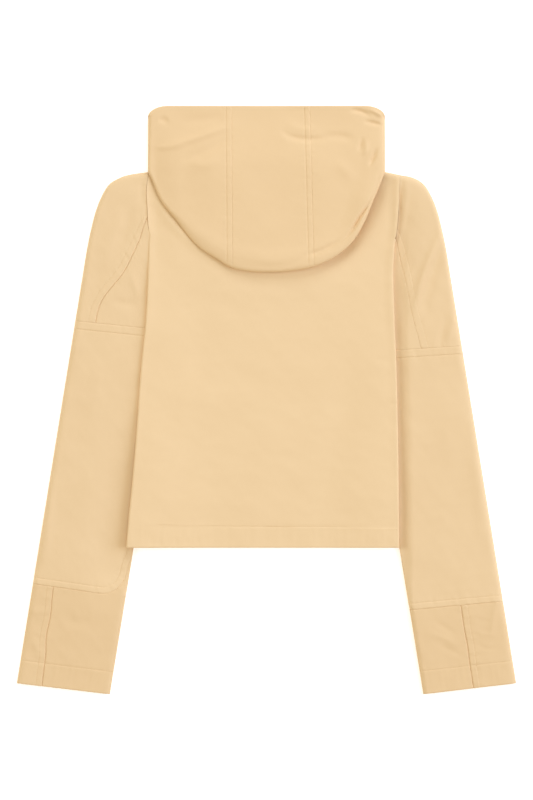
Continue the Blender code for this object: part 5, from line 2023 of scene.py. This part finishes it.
LAMPS = (
    Lamp("right", (1.0, 0.1, 0.6), 5.6, 0.305, (0.855, 1.01, 1.38)),
    Lamp("left", (-1.0, 0.05, 0.66), 4.0, 0.17, (0.88, 1.02, 1.27)),
    Lamp("top", (0.15, 1.0, 0.58), 3.4, 0.18),
    Lamp("overhead", (0.0, -0.4, 1.0), 4.0, 0.105),
)


@dataclass
class Studio:
    """Pale floor, soft light and the camera straight above, far off so that its view hardly narrows.

    Attributes:
        distance: height of the camera, m.
        floor_size: side of the floor, m.
        floor_glow: light that the floor gives off itself, as a light table does.
        lamp_distance: distance of the lamps from the garment, m.
        sky_colour: colour of the even light from all round, warm as the shadows in cotton are.
        ambient: strength of that light.
    """

    distance: float = 5.0
    floor_size: float = 14.0
    floor_glow: float = 0.4
    lamp_distance: float = 8.0
    sky_colour: tuple[float, float, float, float] = (1.0, 0.76, 0.24, 1.0)
    ambient: float = 0.42

    def floor(self) -> None:
        """A level floor of 81 points just below the garment, pale and matt."""
        side = np.linspace(-0.5, 0.5, 9) * self.floor_size / MM
        x, y = np.meshgrid(side, side)
        points = joined(x, y, np.full_like(x, -0.4)).reshape(-1, 3)
        index = np.arange(81).reshape(9, 9)
        corners = (index[:-1, :-1], index[:-1, 1:], index[1:, 1:], index[1:, :-1])
        floor = add_mesh("studio_floor", points, np.stack(corners, -1).reshape(-1, 4), None)
        material = bpy.data.materials.new("studio_floor")
        tree = ShaderTree(material)
        tree.finish(
            {
                "Base Color": (0.93, 0.93, 0.93, 1.0),
                "Roughness": 0.9,
                "Specular IOR Level": 0.1,
                "Emission Color": (1.0, 1.0, 1.0, 1.0),
                "Emission Strength": self.floor_glow,
            }
        )
        floor.data.materials.append(material)

    def light(self, lamp: Lamp) -> None:
        """A square soft light aimed at the garment's middle."""
        place = np.array(lamp.towards) / np.linalg.norm(lamp.towards) * self.lamp_distance
        data = bpy.data.lights.new(lamp.name, "AREA")
        data.size, data.color = lamp.size, lamp.colour
        data.energy = lamp.share * (math.pi * self.lamp_distance) ** 2 / (place[2] / self.lamp_distance)
        piece = bpy.data.objects.new(lamp.name, data)
        piece.location = place
        x, y, z = place
        piece.rotation_euler = (math.atan2(math.hypot(x, y), z), 0.0, math.atan2(x, -y))
        bpy.context.scene.collection.objects.link(piece)

    def build(self) -> None:
        """Makes the floor, the lights, the even surroundings and the camera."""
        self.floor()
        for lamp in LAMPS:
            self.light(lamp)
        world = bpy.data.worlds.new("studio")
        world.use_nodes = True
        world.node_tree.nodes["Background"].inputs["Color"].default_value = self.sky_colour
        world.node_tree.nodes["Background"].inputs["Strength"].default_value = self.ambient
        bpy.context.scene.world = world
        data = bpy.data.cameras.new("camera")
        data.sensor_width = 36.0
        height = PICTURE_HEIGHT * PIXEL * MM
        data.lens = data.sensor_width * self.distance / height
        data.clip_end = 4.0 * self.distance
        camera = bpy.data.objects.new("camera", data)
        middle = (PICTURE_HEIGHT / 2.0 - PICTURE_MIDDLE[1]) * PIXEL * MM
        camera.location = (0.0, -middle, self.distance)
        bpy.context.scene.collection.objects.link(camera)
        bpy.context.scene.camera = camera
        bpy.context.scene.view_settings.view_transform = "Standard"


def main() -> None:
    """Builds the studio and every piece of the garment."""
    logging.basicConfig(level=logging.INFO, format="%(name)s %(message)s")
    Studio().build()
    cloth = {slot: TwillFinish(slot).material() for slot in Slot}
    thread = ThreadFinish().material()
    body = Body(Relief(BACK_CREASES, 3, 0.26))
    parts = [
        body,
        Sleeve(LEFT, Relief(LEFT_SLEEVE_CREASES, 7, 0.3)),
        Sleeve(RIGHT, Relief(RIGHT_SLEEVE_CREASES, 8, 0.28)),
        Hood(body, Relief(HOOD_CREASES, 9, 0.2)),
    ]
    for part in parts:
        for piece in part.pieces():
            piece.sew(cloth[piece.slot], thread)


if __name__ == "__main__":
    main()
